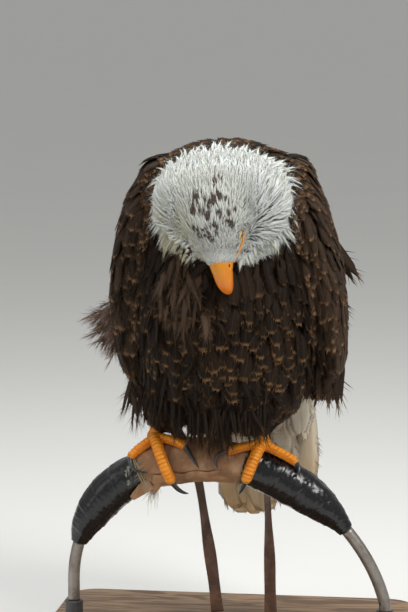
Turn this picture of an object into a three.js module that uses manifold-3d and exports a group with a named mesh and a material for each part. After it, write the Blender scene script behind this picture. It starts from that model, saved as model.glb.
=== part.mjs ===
// A life-size bald eagle that grips a padded bow perch, head bowed to its breast, on a plain display stand.
// Millimetres, +Z up. The bird faces -Y and its left is +X. The origin is the middle of the base's underside.
import * as THREE from "three";
import { LoftGeometry } from "three/addons/geometries/LoftGeometry.js";
import { mergeVertices } from "three/addons/utils/BufferGeometryUtils.js";
import Module from "manifold-3d";

const wasm = await Module();
wasm.setup();

// ---- Driving dimensions --------------------------------------------------------------------------

const GAP = 0.4; // clearance between pieces that touch

const STAND = {
  width: 520,
  depth: 420,
  thick: 18,
  corner: 40,
  edge: 3,
  rodRadius: 13,
  rodFoot: 21,
  rodHeight: 36,
};

// The bow is half an ellipse that leans to the bird's right. Heights of the bird and the perch are measured
// from this level, which is just above the padding.
const PERCH_LEVEL = 293;
const BOW = {
  middle: 8,
  halfSpan: 226,
  foot: -243,
  rise: 214,
  lean: 0.16,
  steelRadius: 8.5,
};
const LEATHER = { from: 85, to: 123, radii: [27, 30, 31.5, 28.5] };
const TAPE_LEFT = { from: 43.5, to: 84.6, radii: [11, 23.5, 30, 30, 27.5] };
const TAPE_RIGHT = { from: 123.4, to: 164.5, radii: [28.5, 29.5, 28.5, 23.5, 12] };

const BIRD_RIGHT = -1;
const BIRD_LEFT = 1;

// Toes and claws run over the padding. A place on it is [mm along the bow from the foot, degrees wrapped
// round the bow, mm above the padding]: positive wraps go down the front and negative ones down the back.
// A toe is given where it ends, and a claw the place it bends towards and where its tip is.
const FEET = {
  right: {
    x: -88,
    jess: { drift: 71, turn: 62 },
    toes: {
      inner: { end: [37, 48], bend: [46, 74, 9], tip: [55, 102, 3] },
      middle: { end: [12, 122], bend: [15, 160, 14], tip: [33, 160, 17] },
      outer: { end: [-34, 38], bend: [-44, 74, 8], tip: [-19, 92, 3] },
      hind: { end: [-8, -80], bend: [-9, -120, 12], tip: [-10, -140, 3] },
    },
  },
  left: {
    x: 42,
    jess: { drift: 18, turn: -55 },
    toes: {
      inner: { end: [-38, 54], bend: [-60, 66, 9], tip: [-50, 98, 3] },
      middle: { end: [-5, 110], bend: [-7, 142, 13], tip: [-12, 160, 14] },
      outer: { end: [47, 22], bend: [61, 40, 8], tip: [52, 56, 3] },
      hind: { end: [8, -80], bend: [9, -120, 12], tip: [10, -140, 3] },
    },
  },
};
const TOE_RADII = {
  inner: [7.6, 6.8, 6.4, 6],
  middle: [8.6, 8.2, 8, 7.4],
  outer: [7.6, 6.8, 6.4, 5.8],
  hind: [8.6, 7.8, 7.2, 6.6],
};
const CLAW_RADII = { inner: 4.6, middle: 4.6, outer: 3.9, hind: 5.2 };
const PAD = { radius: 10.2, height: 11 };
const TARSUS = { radius: 9, top: 46, lean: 6 };
const ANKLET = { inner: 10.4, outer: 13.2, from: 17, to: 31 };
const JESS = { width: 19, thick: 2.6, end: -262 };

// A limb is a list of stations from one end to the other: where its middle is, its half-sizes across (wide,
// along `side`) and through (deep), and how far its rounded ends reach past the first and last station.
const X_AXIS = [1, 0, 0];
const Y_AXIS = [0, 1, 0];

const TRUNK = {
  stations: [
    { at: [0, 16, 370], wide: 100, deep: 68 },
    { at: [0, 12, 300], wide: 120, deep: 97 },
    { at: [0, 8, 225], wide: 125, deep: 113 },
    { at: [0, 10, 150], wide: 124, deep: 115 },
    { at: [2, 14, 84], wide: 112, deep: 98 },
    { at: [2, 16, 56], wide: 102, deep: 84 },
  ],
  caps: [53, 38],
  side: X_AXIS,
  fullness: 0.9,
};

const NECK = {
  stations: [
    { at: [0, 18, 364], wide: 82, deep: 46 },
    { at: [5, -40, 362], wide: 93, deep: 61 },
    { at: [11, -102, 337], wide: 99, deep: 73 },
  ],
  caps: [30, 32],
  side: X_AXIS,
};

// The head's own frame has +X along the bill, +Y to the bird's left and +Z out of the crown.
const HEAD_CENTRE = new THREE.Vector3(3, -122, 320);
const BILL_DIRECTION = new THREE.Vector3(0.16, -0.06, -0.98);
const CROWN_DIRECTION = new THREE.Vector3(-0.14, -1, 0);
const HEAD = {
  stations: [
    { at: [-30, 0, -2], wide: 45, deep: 39 },
    { at: [-8, 0, 0], wide: 46, deep: 41 },
    { at: [16, 0, 0], wide: 37, deep: 35 },
    { at: [34, 0, -1], wide: 25, deep: 24 },
  ],
  caps: [30, 16],
  side: Y_AXIS,
};
const BILL_UPPER = {
  stations: [
    { at: [29, 0, -1], wide: 19, deep: 15 },
    { at: [42, 0, 1], wide: 17.5, deep: 16.5 },
    { at: [58, 0, 2], wide: 14, deep: 15.5 },
    { at: [74, 0, -2], wide: 11.5, deep: 13 },
    { at: [86, 0, -12], wide: 7.5, deep: 9 },
    { at: [88, 0, -23], wide: 2.6, deep: 3.4 },
  ],
  caps: [2, 4],
  side: Y_AXIS,
};
const BILL_LOWER = {
  stations: [
    { at: [29, 0, -18], wide: 19, deep: 6 },
    { at: [42, 0, -17], wide: 14, deep: 7 },
    { at: [62, 0, -15], wide: 9.5, deep: 5.5 },
    { at: [70, 0, -14], wide: 6.5, deep: 3.5 },
  ],
  caps: [2, 6],
  side: Y_AXIS,
};
const EYE = { radius: 11.5, forward: 14, aside: 29, up: 6 };

// Each wing hangs like a curtain from the shoulder. `spread` is how much further out its lower end stands.
function wingStations(side, spread) {
  const inward = [side * -0.3, 1, 0];
  return [
    { at: [side * 80, 24, 366], wide: 56, deep: 40, side: inward },
    { at: [side * 106, 30, 305], wide: 74, deep: 38, side: inward },
    { at: [side * (121 + 0.3 * spread), 44, 225], wide: 80, deep: 34, side: inward },
    { at: [side * (125 + 0.5 * spread), 60, 145], wide: 72, deep: 30, side: inward },
    { at: [side * (119 + spread), 78, 78], wide: 50, deep: 23, side: inward },
  ];
}
const WING_CAPS = [32, 46];

function flightStations(side, spread) {
  return [
    { at: [side * 90, 84, 238], wide: 42, deep: 25, side: [side * -0.7, 1, 0] },
    { at: [side * 92, 98, 170], wide: 60, deep: 25, side: [side * -0.8, 1, 0] },
    { at: [side * (84 + 0.3 * spread), 118, 95], wide: 62, deep: 20, side: [side * -1, 0.8, 0] },
    { at: [side * 62 + 6, 148, 22], wide: 46, deep: 12, side: [side * -1, 0.4, 0] },
    { at: [side * 42 + 18, 167, -48], wide: 25, deep: 7, side: [side * -1, 0.1, 0] },
  ];
}
const FLIGHT_CAPS = [44, 26];

const TAIL = {
  stations: [
    { at: [8, 94, 124], wide: 60, deep: 40 },
    { at: [18, 126, 50], wide: 68, deep: 18 },
    { at: [26, 144, -30], wide: 75, deep: 10 },
    { at: [30, 153, -92], wide: 75, deep: 6 },
  ],
  caps: [30, 36],
  side: X_AXIS,
};

const LEGS = {
  right: {
    stations: [
      { at: [-62, 10, 92], wide: 36, deep: 46 },
      { at: [-72, 6, 66], wide: 38, deep: 46 },
      { at: [-83, 5, 42], wide: 33, deep: 37 },
      { at: [-87, 6, 22], wide: 24, deep: 26 },
    ],
    caps: [30, 10],
    side: X_AXIS,
  },
  left: {
    stations: [
      { at: [58, 10, 92], wide: 36, deep: 46 },
      { at: [56, 6, 66], wide: 40, deep: 46 },
      { at: [48, 5, 42], wide: 35, deep: 38 },
      { at: [43, 6, 22], wide: 24, deep: 26 },
    ],
    caps: [30, 10],
    side: X_AXIS,
  },
};

// ---- Materials ------------------------------------------------------------------------------------

function finish(color, roughness, metalness = 0) {
  return new THREE.MeshStandardMaterial({ color, roughness, metalness });
}
const MATERIALS = {
  brownPlumage: finish(0x3a2a20, 0.85),
  whitePlumage: finish(0xe6e6de, 0.85),
  skin: finish(0xf0a018, 0.55),
  billHorn: finish(0xf5a312, 0.4),
  claw: finish(0x15161a, 0.3),
  eye: finish(0xd9c46a, 0.1),
  strap: finish(0x5a3826, 0.7),
  leather: finish(0x8a6650, 0.8),
  tape: finish(0x14151a, 0.35),
  steel: finish(0x8d867c, 0.4, 0.9),
  wood: finish(0x4a3426, 0.5),
};

// ---- Shapes ---------------------------------------------------------------------------------------

function smoothCurve(points) {
  return new THREE.CatmullRomCurve3(
    points.map((p) => new THREE.Vector3(...p)),
    false,
    "catmullrom",
    0.5,
  );
}

// A ring about `centre`, square to `tangent`, with its wide axis near `side`: an ellipse when `fullness`
// is 1, and squarer as it falls.
function ring(centre, tangent, side, wide, deep, around, fullness = 1) {
  const across = side.clone().addScaledVector(tangent, -side.dot(tangent)).normalize();
  const through = new THREE.Vector3().crossVectors(tangent, across);
  const points = [];
  for (let j = 0; j < around; j++) {
    const angle = (j / around) * 2 * Math.PI;
    const fuller = (v) => Math.sign(v) * Math.abs(v) ** fullness;
    points.push(
      centre
        .clone()
        .addScaledVector(across, wide * fuller(Math.cos(angle)))
        .addScaledVector(through, deep * fuller(Math.sin(angle))),
    );
  }
  return points;
}

// The limb's surface, with `grow` added to every half-size. The ends are half ellipsoids.
function limbGeometry({ stations, caps, side, fullness }, { around, along, grow = 0 }) {
  const middle = smoothCurve(stations.map((s) => s.at));
  const sizes = smoothCurve(stations.map((s) => [s.wide, s.deep, 0]));
  const sides = smoothCurve(stations.map((s) => s.side ?? side));
  const CAP_RINGS = 3;
  const TIP = 0.04; // the last ring's share of the full size
  const LOOK = 0.3; // a ring squares up to the path this far to either side, so that rings never cross
  const rings = [];
  const addRing = (u, past, share) => {
    const ahead = middle.getPoint(Math.min(1, u + LOOK));
    const tangent = ahead.sub(middle.getPoint(Math.max(0, u - LOOK))).normalize();
    const size = sizes.getPoint(u);
    const centre = middle.getPoint(u).addScaledVector(tangent, past);
    const wide = (size.x + grow) * share;
    const deep = (size.y + grow) * share;
    rings.push(ring(centre, tangent, sides.getPoint(u), wide, deep, around, fullness));
  };
  for (let i = 0; i < CAP_RINGS; i++) {
    const share = TIP + (1 - TIP) * Math.sin(((i / CAP_RINGS) * Math.PI) / 2);
    addRing(0, -(caps[0] + grow) * Math.sqrt(1 - share * share), share);
  }
  for (let i = 0; i <= along; i++) addRing(i / along, 0, 1);
  for (let i = CAP_RINGS - 1; i >= 0; i--) {
    const share = TIP + (1 - TIP) * Math.sin(((i / CAP_RINGS) * Math.PI) / 2);
    addRing(1, (caps[1] + grow) * Math.sqrt(1 - share * share), share);
  }
  return new LoftGeometry(rings, { capStart: true, capEnd: true });
}

// A round rod along `path` (a function of 0 to 1) with flat ends and a radius that varies along it.
function rodGeometry(path, radius, { around, along, grow = 0 }) {
  const STEP = 1e-3;
  const rings = [];
  for (let i = 0; i <= along; i++) {
    const t = i / along;
    const ahead = path(Math.min(1, t + STEP));
    const behind = path(Math.max(0, t - STEP));
    const tangent = ahead.sub(behind).normalize();
    const r = radius(t) + grow;
    rings.push(ring(path(t), tangent, new THREE.Vector3(0, 1, 0), r, r, around));
  }
  return new LoftGeometry(rings, { capStart: true, capEnd: true });
}

function interpolate(values, t) {
  const curve = smoothCurve(values.map((v) => [v, 0, 0]));
  return curve.getPoint(t).x;
}

// ---- Solids ---------------------------------------------------------------------------------------

function solid(geometry) {
  const bare = new THREE.BufferGeometry().copy(geometry);
  bare.deleteAttribute("normal");
  bare.deleteAttribute("uv");
  const merged = mergeVertices(bare, 1e-4);
  return new wasm.Manifold(
    new wasm.Mesh({
      numProp: 3,
      vertProperties: new Float32Array(merged.attributes.position.array),
      triVerts: new Uint32Array(merged.index.array),
    }),
  );
}

function less(whole, ...cutters) {
  return cutters.reduce((left, cutter) => left.subtract(cutter), whole);
}

function largestPiece(made) {
  return made.decompose().sort((a, b) => b.volume() - a.volume())[0];
}

function meshOf(name, made, material) {
  const SMALLEST_DETAIL = 0.2;
  const { vertProperties, triVerts } = largestPiece(made.simplify(SMALLEST_DETAIL)).getMesh();
  const geometry = new THREE.BufferGeometry();
  geometry.setAttribute("position", new THREE.BufferAttribute(vertProperties, 3));
  geometry.setIndex(new THREE.BufferAttribute(triVerts, 1));
  geometry.computeVertexNormals();
  const mesh = new THREE.Mesh(geometry, material);
  mesh.name = name;
  return mesh;
}

// ---- The perch ------------------------------------------------------------------------------------

function bowPoint(degrees) {
  const angle = THREE.MathUtils.degToRad(degrees);
  const x = BOW.middle + BOW.halfSpan * Math.cos(angle);
  const arch = BOW.foot + BOW.rise * Math.sin(angle);
  return new THREE.Vector3(x, 0, arch - BOW.lean * (x + BOW.middle));
}

function bowAngleAt(x) {
  return THREE.MathUtils.radToDeg(Math.acos((x - BOW.middle) / BOW.halfSpan));
}

function bowFrame(degrees) {
  const STEP = 0.05;
  const along = bowPoint(degrees - STEP).sub(bowPoint(degrees + STEP));
  const mmPerDegree = along.length() / (2 * STEP);
  along.normalize();
  const out = new THREE.Vector3(-along.z, 0, along.x);
  return { along, out, mmPerDegree };
}

function paddingPath({ from, to }) {
  return (t) => bowPoint(THREE.MathUtils.lerp(from, to, t));
}

function paddingRadiusAt(degrees) {
  const part = [LEATHER, TAPE_LEFT, TAPE_RIGHT].find((p) => degrees >= p.from && degrees <= p.to) ?? LEATHER;
  const t = THREE.MathUtils.clamp((degrees - part.from) / (part.to - part.from), 0, 1);
  return interpolate(part.radii, t);
}

function padding(part, along) {
  const path = paddingPath(part);
  const shortened = (t) => path(THREE.MathUtils.lerp(0.003, 0.997, t));
  return solid(rodGeometry(shortened, (t) => interpolate(part.radii, t), { around: 14, along }));
}

// The bare steel runs on from the tape along the bow and then straight down into its rod on the stand.
function steelLeg(fromDegrees, toDegrees) {
  const points = [];
  const STEPS = 6;
  for (let i = 0; i <= STEPS; i++) {
    points.push(bowPoint(THREE.MathUtils.lerp(fromDegrees, toDegrees, i / STEPS)));
  }
  const last = points[STEPS];
  const foot = -PERCH_LEVEL + STAND.thick + STAND.rodHeight + GAP;
  points.push(new THREE.Vector3(last.x, 0, (last.z + foot) / 2), new THREE.Vector3(last.x, 0, foot));
  const curve = new THREE.CatmullRomCurve3(points);
  const path = (t) => curve.getPointAt(t);
  const made = solid(rodGeometry(path, () => BOW.steelRadius, { around: 10, along: 7 }));
  return { made, x: last.x };
}

function makePerch() {
  const group = new THREE.Group();
  group.add(meshOf("perch_leather", padding(LEATHER, 6), MATERIALS.leather));
  group.add(meshOf("perch_tape_left", padding(TAPE_LEFT, 7), MATERIALS.tape));
  group.add(meshOf("perch_tape_right", padding(TAPE_RIGHT, 7), MATERIALS.tape));
  const left = steelLeg(TAPE_LEFT.from - 0.2, 14);
  const right = steelLeg(TAPE_RIGHT.to + 0.2, 180);
  group.add(meshOf("perch_steel_left", left.made, MATERIALS.steel));
  group.add(meshOf("perch_steel_right", right.made, MATERIALS.steel));
  return { group, rodPlaces: { left: left.x, right: right.x } };
}

// ---- The stand ------------------------------------------------------------------------------------

function makeStand(rodPlaces) {
  const group = new THREE.Group();
  const halfWidth = STAND.width / 2 - STAND.edge;
  const halfDepth = STAND.depth / 2 - STAND.edge;
  const r = STAND.corner;
  const outline = new THREE.Shape();
  outline.moveTo(-halfWidth + r, -halfDepth);
  outline.lineTo(halfWidth - r, -halfDepth);
  outline.absarc(halfWidth - r, -halfDepth + r, r, -Math.PI / 2, 0);
  outline.lineTo(halfWidth, halfDepth - r);
  outline.absarc(halfWidth - r, halfDepth - r, r, 0, Math.PI / 2);
  outline.lineTo(-halfWidth + r, halfDepth);
  outline.absarc(-halfWidth + r, halfDepth - r, r, Math.PI / 2, Math.PI);
  outline.lineTo(-halfWidth, -halfDepth + r);
  outline.absarc(-halfWidth + r, -halfDepth + r, r, Math.PI, 1.5 * Math.PI);
  const base = new THREE.ExtrudeGeometry(outline, {
    depth: STAND.thick - 2 * STAND.edge,
    bevelThickness: STAND.edge,
    bevelSize: STAND.edge,
    bevelSegments: 1,
    curveSegments: 3,
  });
  base.translate(0, 0, STAND.edge);
  group.add(meshOf("stand_base", solid(base), MATERIALS.wood));

  const h = STAND.rodHeight;
  const profile = [
    [0, GAP],
    [STAND.rodFoot, GAP],
    [STAND.rodFoot, 5],
    [STAND.rodRadius, 8],
    [STAND.rodRadius, h - 1.5],
    [STAND.rodRadius - 1.5, h],
    [0, h],
  ].map(([x, y]) => new THREE.Vector2(x, y));
  for (const [name, x] of Object.entries(rodPlaces)) {
    const rod = new THREE.LatheGeometry(profile, 14).rotateX(Math.PI / 2);
    const mesh = meshOf(`stand_rod_${name}`, solid(rod), MATERIALS.steel);
    mesh.position.set(x, 0, STAND.thick);
    group.add(mesh);
  }
  return group;
}

// ---- Feet, claws and straps -----------------------------------------------------------------------

// A point on the padding: `along` mm from the foot, `wrap` degrees round it and `height` mm above it.
function onPadding(footX, along, wrap, height) {
  const start = bowAngleAt(footX);
  const degrees = start - along / bowFrame(start).mmPerDegree;
  const { out } = bowFrame(degrees);
  const angle = THREE.MathUtils.degToRad(wrap);
  const r = paddingRadiusAt(degrees) + height;
  return bowPoint(degrees)
    .addScaledVector(out, r * Math.cos(angle))
    .add(new THREE.Vector3(0, -r * Math.sin(angle), 0));
}

const TOE_START = 8; // degrees: where every toe leaves the pad of the foot
const TOE_CLEARANCE = 0.6;

function toePath(footX, name, { end }) {
  const start = Math.sign(end[1]) * TOE_START;
  return (t) => {
    const height = interpolate(TOE_RADII[name], t) + TOE_CLEARANCE;
    return onPadding(footX, end[0] * t, THREE.MathUtils.lerp(start, end[1], t), height);
  };
}

function clawPath(footX, name, { end, bend, tip }) {
  const root = onPadding(footX, ...end, TOE_RADII[name].at(-1) + TOE_CLEARANCE);
  const curve = new THREE.QuadraticBezierCurve3(root, onPadding(footX, ...bend), onPadding(footX, ...tip));
  return (t) => curve.getPoint(t);
}

function tarsusPath(footX) {
  const foot = onPadding(footX, 0, 0, PAD.height - 2);
  return (t) => foot.clone().add(new THREE.Vector3(0, TARSUS.lean * t * t, TARSUS.top * t));
}

function footSolid(footX, toes, grow = 0) {
  let foot = solid(rodGeometry(tarsusPath(footX), () => TARSUS.radius, { around: 8, along: 3, grow }));
  for (const [name, toe] of Object.entries(toes)) {
    const radius = (t) => interpolate(TOE_RADII[name], t);
    foot = foot.add(solid(rodGeometry(toePath(footX, name, toe), radius, { around: 6, along: 5, grow })));
  }
  const pad = new THREE.SphereGeometry(PAD.radius + grow, 8, 5);
  const middle = onPadding(footX, 0, 0, PAD.height);
  return foot.add(solid(pad.translate(middle.x, middle.y, middle.z)));
}

function clawSolid(footX, name, toe) {
  const taper = (t) => CLAW_RADII[name] * Math.sqrt(1 - t * 0.985);
  return solid(rodGeometry(clawPath(footX, name, toe), taper, { around: 6, along: 5 }));
}

function ankletSolid(footX, grow = 0) {
  const { inner, outer, from, to } = ANKLET;
  const profile = [
    [inner - grow, from - grow],
    [outer + grow, from - grow],
    [outer + grow, to + grow],
    [inner - grow, to + grow],
    [inner - grow, from - grow],
  ].map(([x, y]) => new THREE.Vector2(x, y));
  const cuff = new THREE.LatheGeometry(profile, 12).rotateX(Math.PI / 2);
  const base = tarsusPath(footX)(0);
  const middle = (from + to) / 2 / TARSUS.top;
  return solid(cuff.translate(base.x, TARSUS.lean * middle * middle, base.z));
}

// A flat strap from behind the anklet, back over the perch and down behind it. `turn` twists it as it falls.
function jessSolid({ x: footX, jess: { drift, turn } }, grow = 0) {
  const cuffBack = ANKLET.outer + TARSUS.lean * 0.15 + GAP + 1;
  const base = tarsusPath(footX)(0);
  const path = smoothCurve([
    [footX, cuffBack + JESS.thick, base.z + 24],
    [footX + drift * 0.12, cuffBack + 26, base.z + 6],
    [footX + drift * 0.5, 62, -52],
    [footX + drift * 0.8, 54, -160],
    [footX + drift, 48, JESS.end],
  ]);
  const ALONG = 10;
  const rings = [];
  for (let i = 0; i <= ALONG; i++) {
    const t = i / ALONG;
    const angle = THREE.MathUtils.degToRad(turn * Math.sin(Math.PI * Math.min(1, t * 1.15)));
    const side = new THREE.Vector3(Math.cos(angle), Math.sin(angle), 0);
    const tangent = path.getTangentAt(t);
    const across = side.addScaledVector(tangent, -side.dot(tangent)).normalize();
    const through = new THREE.Vector3().crossVectors(tangent, across);
    const centre = path.getPointAt(t).addScaledVector(tangent, i === 0 ? -grow : 0);
    const corners = [[-1, -1], [1, -1], [1, 1], [-1, 1]];
    rings.push(
      corners.map(([a, b]) =>
        centre
          .clone()
          .addScaledVector(across, a * (JESS.width / 2 + grow))
          .addScaledVector(through, b * (JESS.thick / 2 + grow)),
      ),
    );
  }
  return solid(new LoftGeometry(rings, { capStart: true, capEnd: true }));
}

// ---- The bird -------------------------------------------------------------------------------------

function headMatrix() {
  const bill = BILL_DIRECTION.clone().normalize();
  const crown = CROWN_DIRECTION.clone().addScaledVector(bill, -CROWN_DIRECTION.dot(bill)).normalize();
  const left = new THREE.Vector3().crossVectors(crown, bill);
  return new THREE.Matrix4().makeBasis(bill, left, crown).setPosition(HEAD_CENTRE);
}

function headLimb(limb, options) {
  return solid(limbGeometry(limb, options).applyMatrix4(headMatrix()));
}

function eyeSolid(side, grow = 0) {
  const eye = new THREE.SphereGeometry(EYE.radius + grow, 10, 7);
  eye.translate(EYE.forward, side * EYE.aside, EYE.up);
  return solid(eye.applyMatrix4(headMatrix()));
}

const UPPER_DETAIL = { around: 10, along: 7 };
const LOWER_DETAIL = { around: 8, along: 3 };
const SKULL_DETAIL = { around: 12, along: 5 };

// The bill and the eyes with clearance round them, to be cut out of what they sit in.
function faceCutters() {
  return [
    headLimb(BILL_UPPER, { ...UPPER_DETAIL, grow: GAP }),
    headLimb(BILL_LOWER, { ...LOWER_DETAIL, grow: GAP }),
    eyeSolid(BIRD_LEFT, GAP),
    eyeSolid(BIRD_RIGHT, GAP),
  ];
}

function makeHead(cutters) {
  const lower = headLimb(BILL_LOWER, LOWER_DETAIL).subtract(cutters[0]);
  const head = less(headLimb(HEAD, SKULL_DETAIL), ...cutters);
  return [
    meshOf("head", head, MATERIALS.whitePlumage),
    meshOf("bill_upper", headLimb(BILL_UPPER, UPPER_DETAIL), MATERIALS.billHorn),
    meshOf("bill_lower", lower, MATERIALS.billHorn),
    meshOf("eye_left", eyeSolid(BIRD_LEFT), MATERIALS.eye),
    meshOf("eye_right", eyeSolid(BIRD_RIGHT), MATERIALS.eye),
  ];
}

function makeBird() {
  const group = new THREE.Group();
  const bodyDetail = { around: 22, along: 7 };
  const neckDetail = { around: 16, along: 3 };
  const wingDetail = { around: 12, along: 6 };
  const flightDetail = { around: 10, along: 6 };
  const tailDetail = { around: 14, along: 6 };
  const legDetail = { around: 12, along: 4 };
  const limb = (spec, options) => solid(limbGeometry(spec, options));
  const grown = (spec, options) => solid(limbGeometry(spec, { ...options, grow: GAP }));

  const face = faceCutters();
  const headGrown = headLimb(HEAD, { ...SKULL_DETAIL, grow: GAP });
  const neckGrown = grown(NECK, neckDetail);
  const legsGrown = Object.values(LEGS).map((leg) => grown(leg, legDetail));
  const strapsGrown = Object.values(FEET).map((foot) => jessSolid(foot, GAP));
  const front = [...face, headGrown, neckGrown];
  group.add(...makeHead(face));
  group.add(meshOf("neck", less(limb(NECK, neckDetail), headGrown, ...face), MATERIALS.whitePlumage));
  const trunk = less(limb(TRUNK, bodyDetail), ...front, ...legsGrown, ...strapsGrown);
  group.add(meshOf("trunk", trunk, MATERIALS.brownPlumage));
  const trunkGrown = grown(TRUNK, bodyDetail);

  for (const [name, spec] of Object.entries(FEET)) {
    const { x, toes } = spec;
    const footGrown = footSolid(x, toes, GAP);
    const worn = [footGrown, ankletSolid(x, GAP), ...strapsGrown];
    group.add(meshOf(`leg_${name}`, less(limb(LEGS[name], legDetail), ...worn), MATERIALS.brownPlumage));
    group.add(meshOf(`foot_${name}`, footSolid(x, toes), MATERIALS.skin));
    for (const [toeName, toe] of Object.entries(toes)) {
      const claw = clawSolid(x, toeName, toe).subtract(footGrown);
      group.add(meshOf(`claw_${name}_${toeName}`, claw, MATERIALS.claw));
    }
    group.add(meshOf(`anklet_${name}`, ankletSolid(x), MATERIALS.strap));
    group.add(meshOf(`jess_${name}`, jessSolid(spec), MATERIALS.strap));
  }

  group.add(meshOf("tail", less(limb(TAIL, tailDetail), trunkGrown, ...legsGrown), MATERIALS.whitePlumage));
  const tailGrown = grown(TAIL, tailDetail);

  const wings = { left: [BIRD_LEFT, 15], right: [BIRD_RIGHT, -1] };
  for (const [name, [side, spread]] of Object.entries(wings)) {
    const wing = { stations: wingStations(side, spread), caps: WING_CAPS, side: Y_AXIS };
    const flight = { stations: flightStations(side, spread), caps: FLIGHT_CAPS, side: Y_AXIS };
    const wingCut = less(limb(wing, wingDetail), trunkGrown, ...front, ...legsGrown);
    group.add(meshOf(`wing_${name}`, wingCut, MATERIALS.brownPlumage));
    const around = [trunkGrown, grown(wing, wingDetail), tailGrown, ...legsGrown];
    const flightCut = less(limb(flight, flightDetail), ...around);
    group.add(meshOf(`flight_feathers_${name}`, flightCut, MATERIALS.brownPlumage));
  }
  return group;
}

// ---- Assembly -------------------------------------------------------------------------------------

const model = new THREE.Group();
const perch = makePerch();
const raised = new THREE.Group();
raised.position.z = PERCH_LEVEL;
raised.add(perch.group, makeBird());
model.add(makeStand(perch.rodPlaces), raised);

export default model;
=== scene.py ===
"""A bald eagle gripping a cut length of bow perch on a display stand, life-size, in metres.

The bird is one skin under a coat of solid feathers. Its limbs are swept ellipses that melt
together into one smooth form; every feather is rooted on that form and follows its lie.
"""

import logging
import math
from dataclasses import dataclass, field
from enum import Enum
from typing import Callable, Optional, Sequence

import bmesh
import bpy
import numpy as np
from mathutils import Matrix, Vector


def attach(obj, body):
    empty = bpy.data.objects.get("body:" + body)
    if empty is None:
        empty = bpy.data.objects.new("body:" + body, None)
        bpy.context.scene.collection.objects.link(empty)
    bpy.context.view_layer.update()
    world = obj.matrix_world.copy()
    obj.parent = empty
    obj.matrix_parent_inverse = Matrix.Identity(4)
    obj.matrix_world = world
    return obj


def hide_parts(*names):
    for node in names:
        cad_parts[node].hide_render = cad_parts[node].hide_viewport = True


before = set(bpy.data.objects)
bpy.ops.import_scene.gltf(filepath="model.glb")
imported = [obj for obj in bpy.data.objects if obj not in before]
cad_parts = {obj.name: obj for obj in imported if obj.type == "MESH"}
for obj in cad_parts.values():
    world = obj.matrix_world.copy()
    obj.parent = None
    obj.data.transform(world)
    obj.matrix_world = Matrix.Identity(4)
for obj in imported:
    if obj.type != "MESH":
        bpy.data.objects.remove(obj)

LOG = logging.getLogger("eagle")
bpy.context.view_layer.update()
MM = 0.001
TURN = 2 * math.pi
PERCH_LEVEL = 293.0  # height over the floor that the bird's and the bow's heights start from, in mm
GAP = 0.4  # clearance between neighbouring pieces, in mm
BODY = "root"
SIDES = ((1, "left"), (-1, "right"))
Array = np.ndarray
Socket = bpy.types.NodeSocket


# ---------------------------------------------------------------- small mathematics


def unit(v: Array) -> Array:
    """Vectors scaled to length one, along the last axis."""
    return v / np.maximum(np.linalg.norm(v, axis=-1, keepdims=True), 1e-12)


def dot(a: Array, b: Array) -> Array:
    """Dot product along the last axis, which is kept with length one."""
    return np.sum(a * b, axis=-1, keepdims=True)


def smooth(x: Array, low: float, high: float) -> Array:
    """Smooth step: 0 below low, 1 above high, and 3t^2 - 2t^3 between them."""
    t = np.clip((x - low) / (high - low), 0.0, 1.0)
    return t * t * (3.0 - 2.0 * t)


def along(values: Sequence, t: Array) -> Array:
    """Catmull-Rom line through evenly spaced values.

    Args:
        values: rows of numbers, one row for each knot.
        t: places from 0 at the first knot to 1 at the last.

    Returns:
        The rows at those places: half the cubic blend of the four nearest knots.
    """
    knots = np.asarray(values, float)
    if knots.ndim == 1:
        return along(knots[:, None], t)[..., 0]
    knots = np.vstack([2 * knots[:1] - knots[1:2], knots, 2 * knots[-1:] - knots[-2:-1]])
    place = np.clip(t, 0, 1) * (len(knots) - 3)
    i = np.minimum(place.astype(int), len(knots) - 4)
    f = (place - i)[..., None]
    a, b, c, d = knots[i], knots[i + 1], knots[i + 2], knots[i + 3]
    return 0.5 * (2 * b + (c - a) * f + (2 * a - 5 * b + 4 * c - d) * f**2
                  + (3 * b - a - 3 * c + d) * f**3)


def turned(v: Array, axis: Array, angle: Array) -> Array:
    """Vectors turned about unit axes: v cos + (axis x v) sin, for v square to its axis."""
    return v * np.cos(angle)[..., None] + np.cross(axis, v) * np.sin(angle)[..., None]


def lumps(points: Array, size: float, seed: int) -> Array:
    """Soft noise from -1 to 1: the mean of sines along eight seeded directions.

    Args:
        points: places, in the same unit as size.
        size: rough width of a lump.
        seed: which noise.

    Returns:
        One value for each point.
    """
    rng = np.random.default_rng(seed)
    waves = unit(rng.normal(size=(8, 3))) * (TURN / size) * rng.uniform(0.6, 1.5, (8, 1))
    return np.sin(points @ waves.T + rng.uniform(0, 6.28, 8)).mean(-1) * 2.0


def rounded(value: Array, power: float) -> Array:
    """A value raised to a power, with its sign kept."""
    return np.sign(value) * np.abs(value) ** power


def run_along(path: Array) -> Array:
    """Distance from a path's start to each of its points."""
    return np.concatenate([[0], np.cumsum(np.linalg.norm(np.diff(path, axis=0), axis=1))])


def above_perch(points: Array) -> Array:
    """Heights over the perch's level, in mm."""
    return points[..., 2] / MM - PERCH_LEVEL


def kept(mask: Array, *values: Array) -> tuple[Array, ...]:
    """Each array, where a mask holds."""
    return tuple(value[mask] for value in values)


# ---------------------------------------------------------------- meshes


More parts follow.
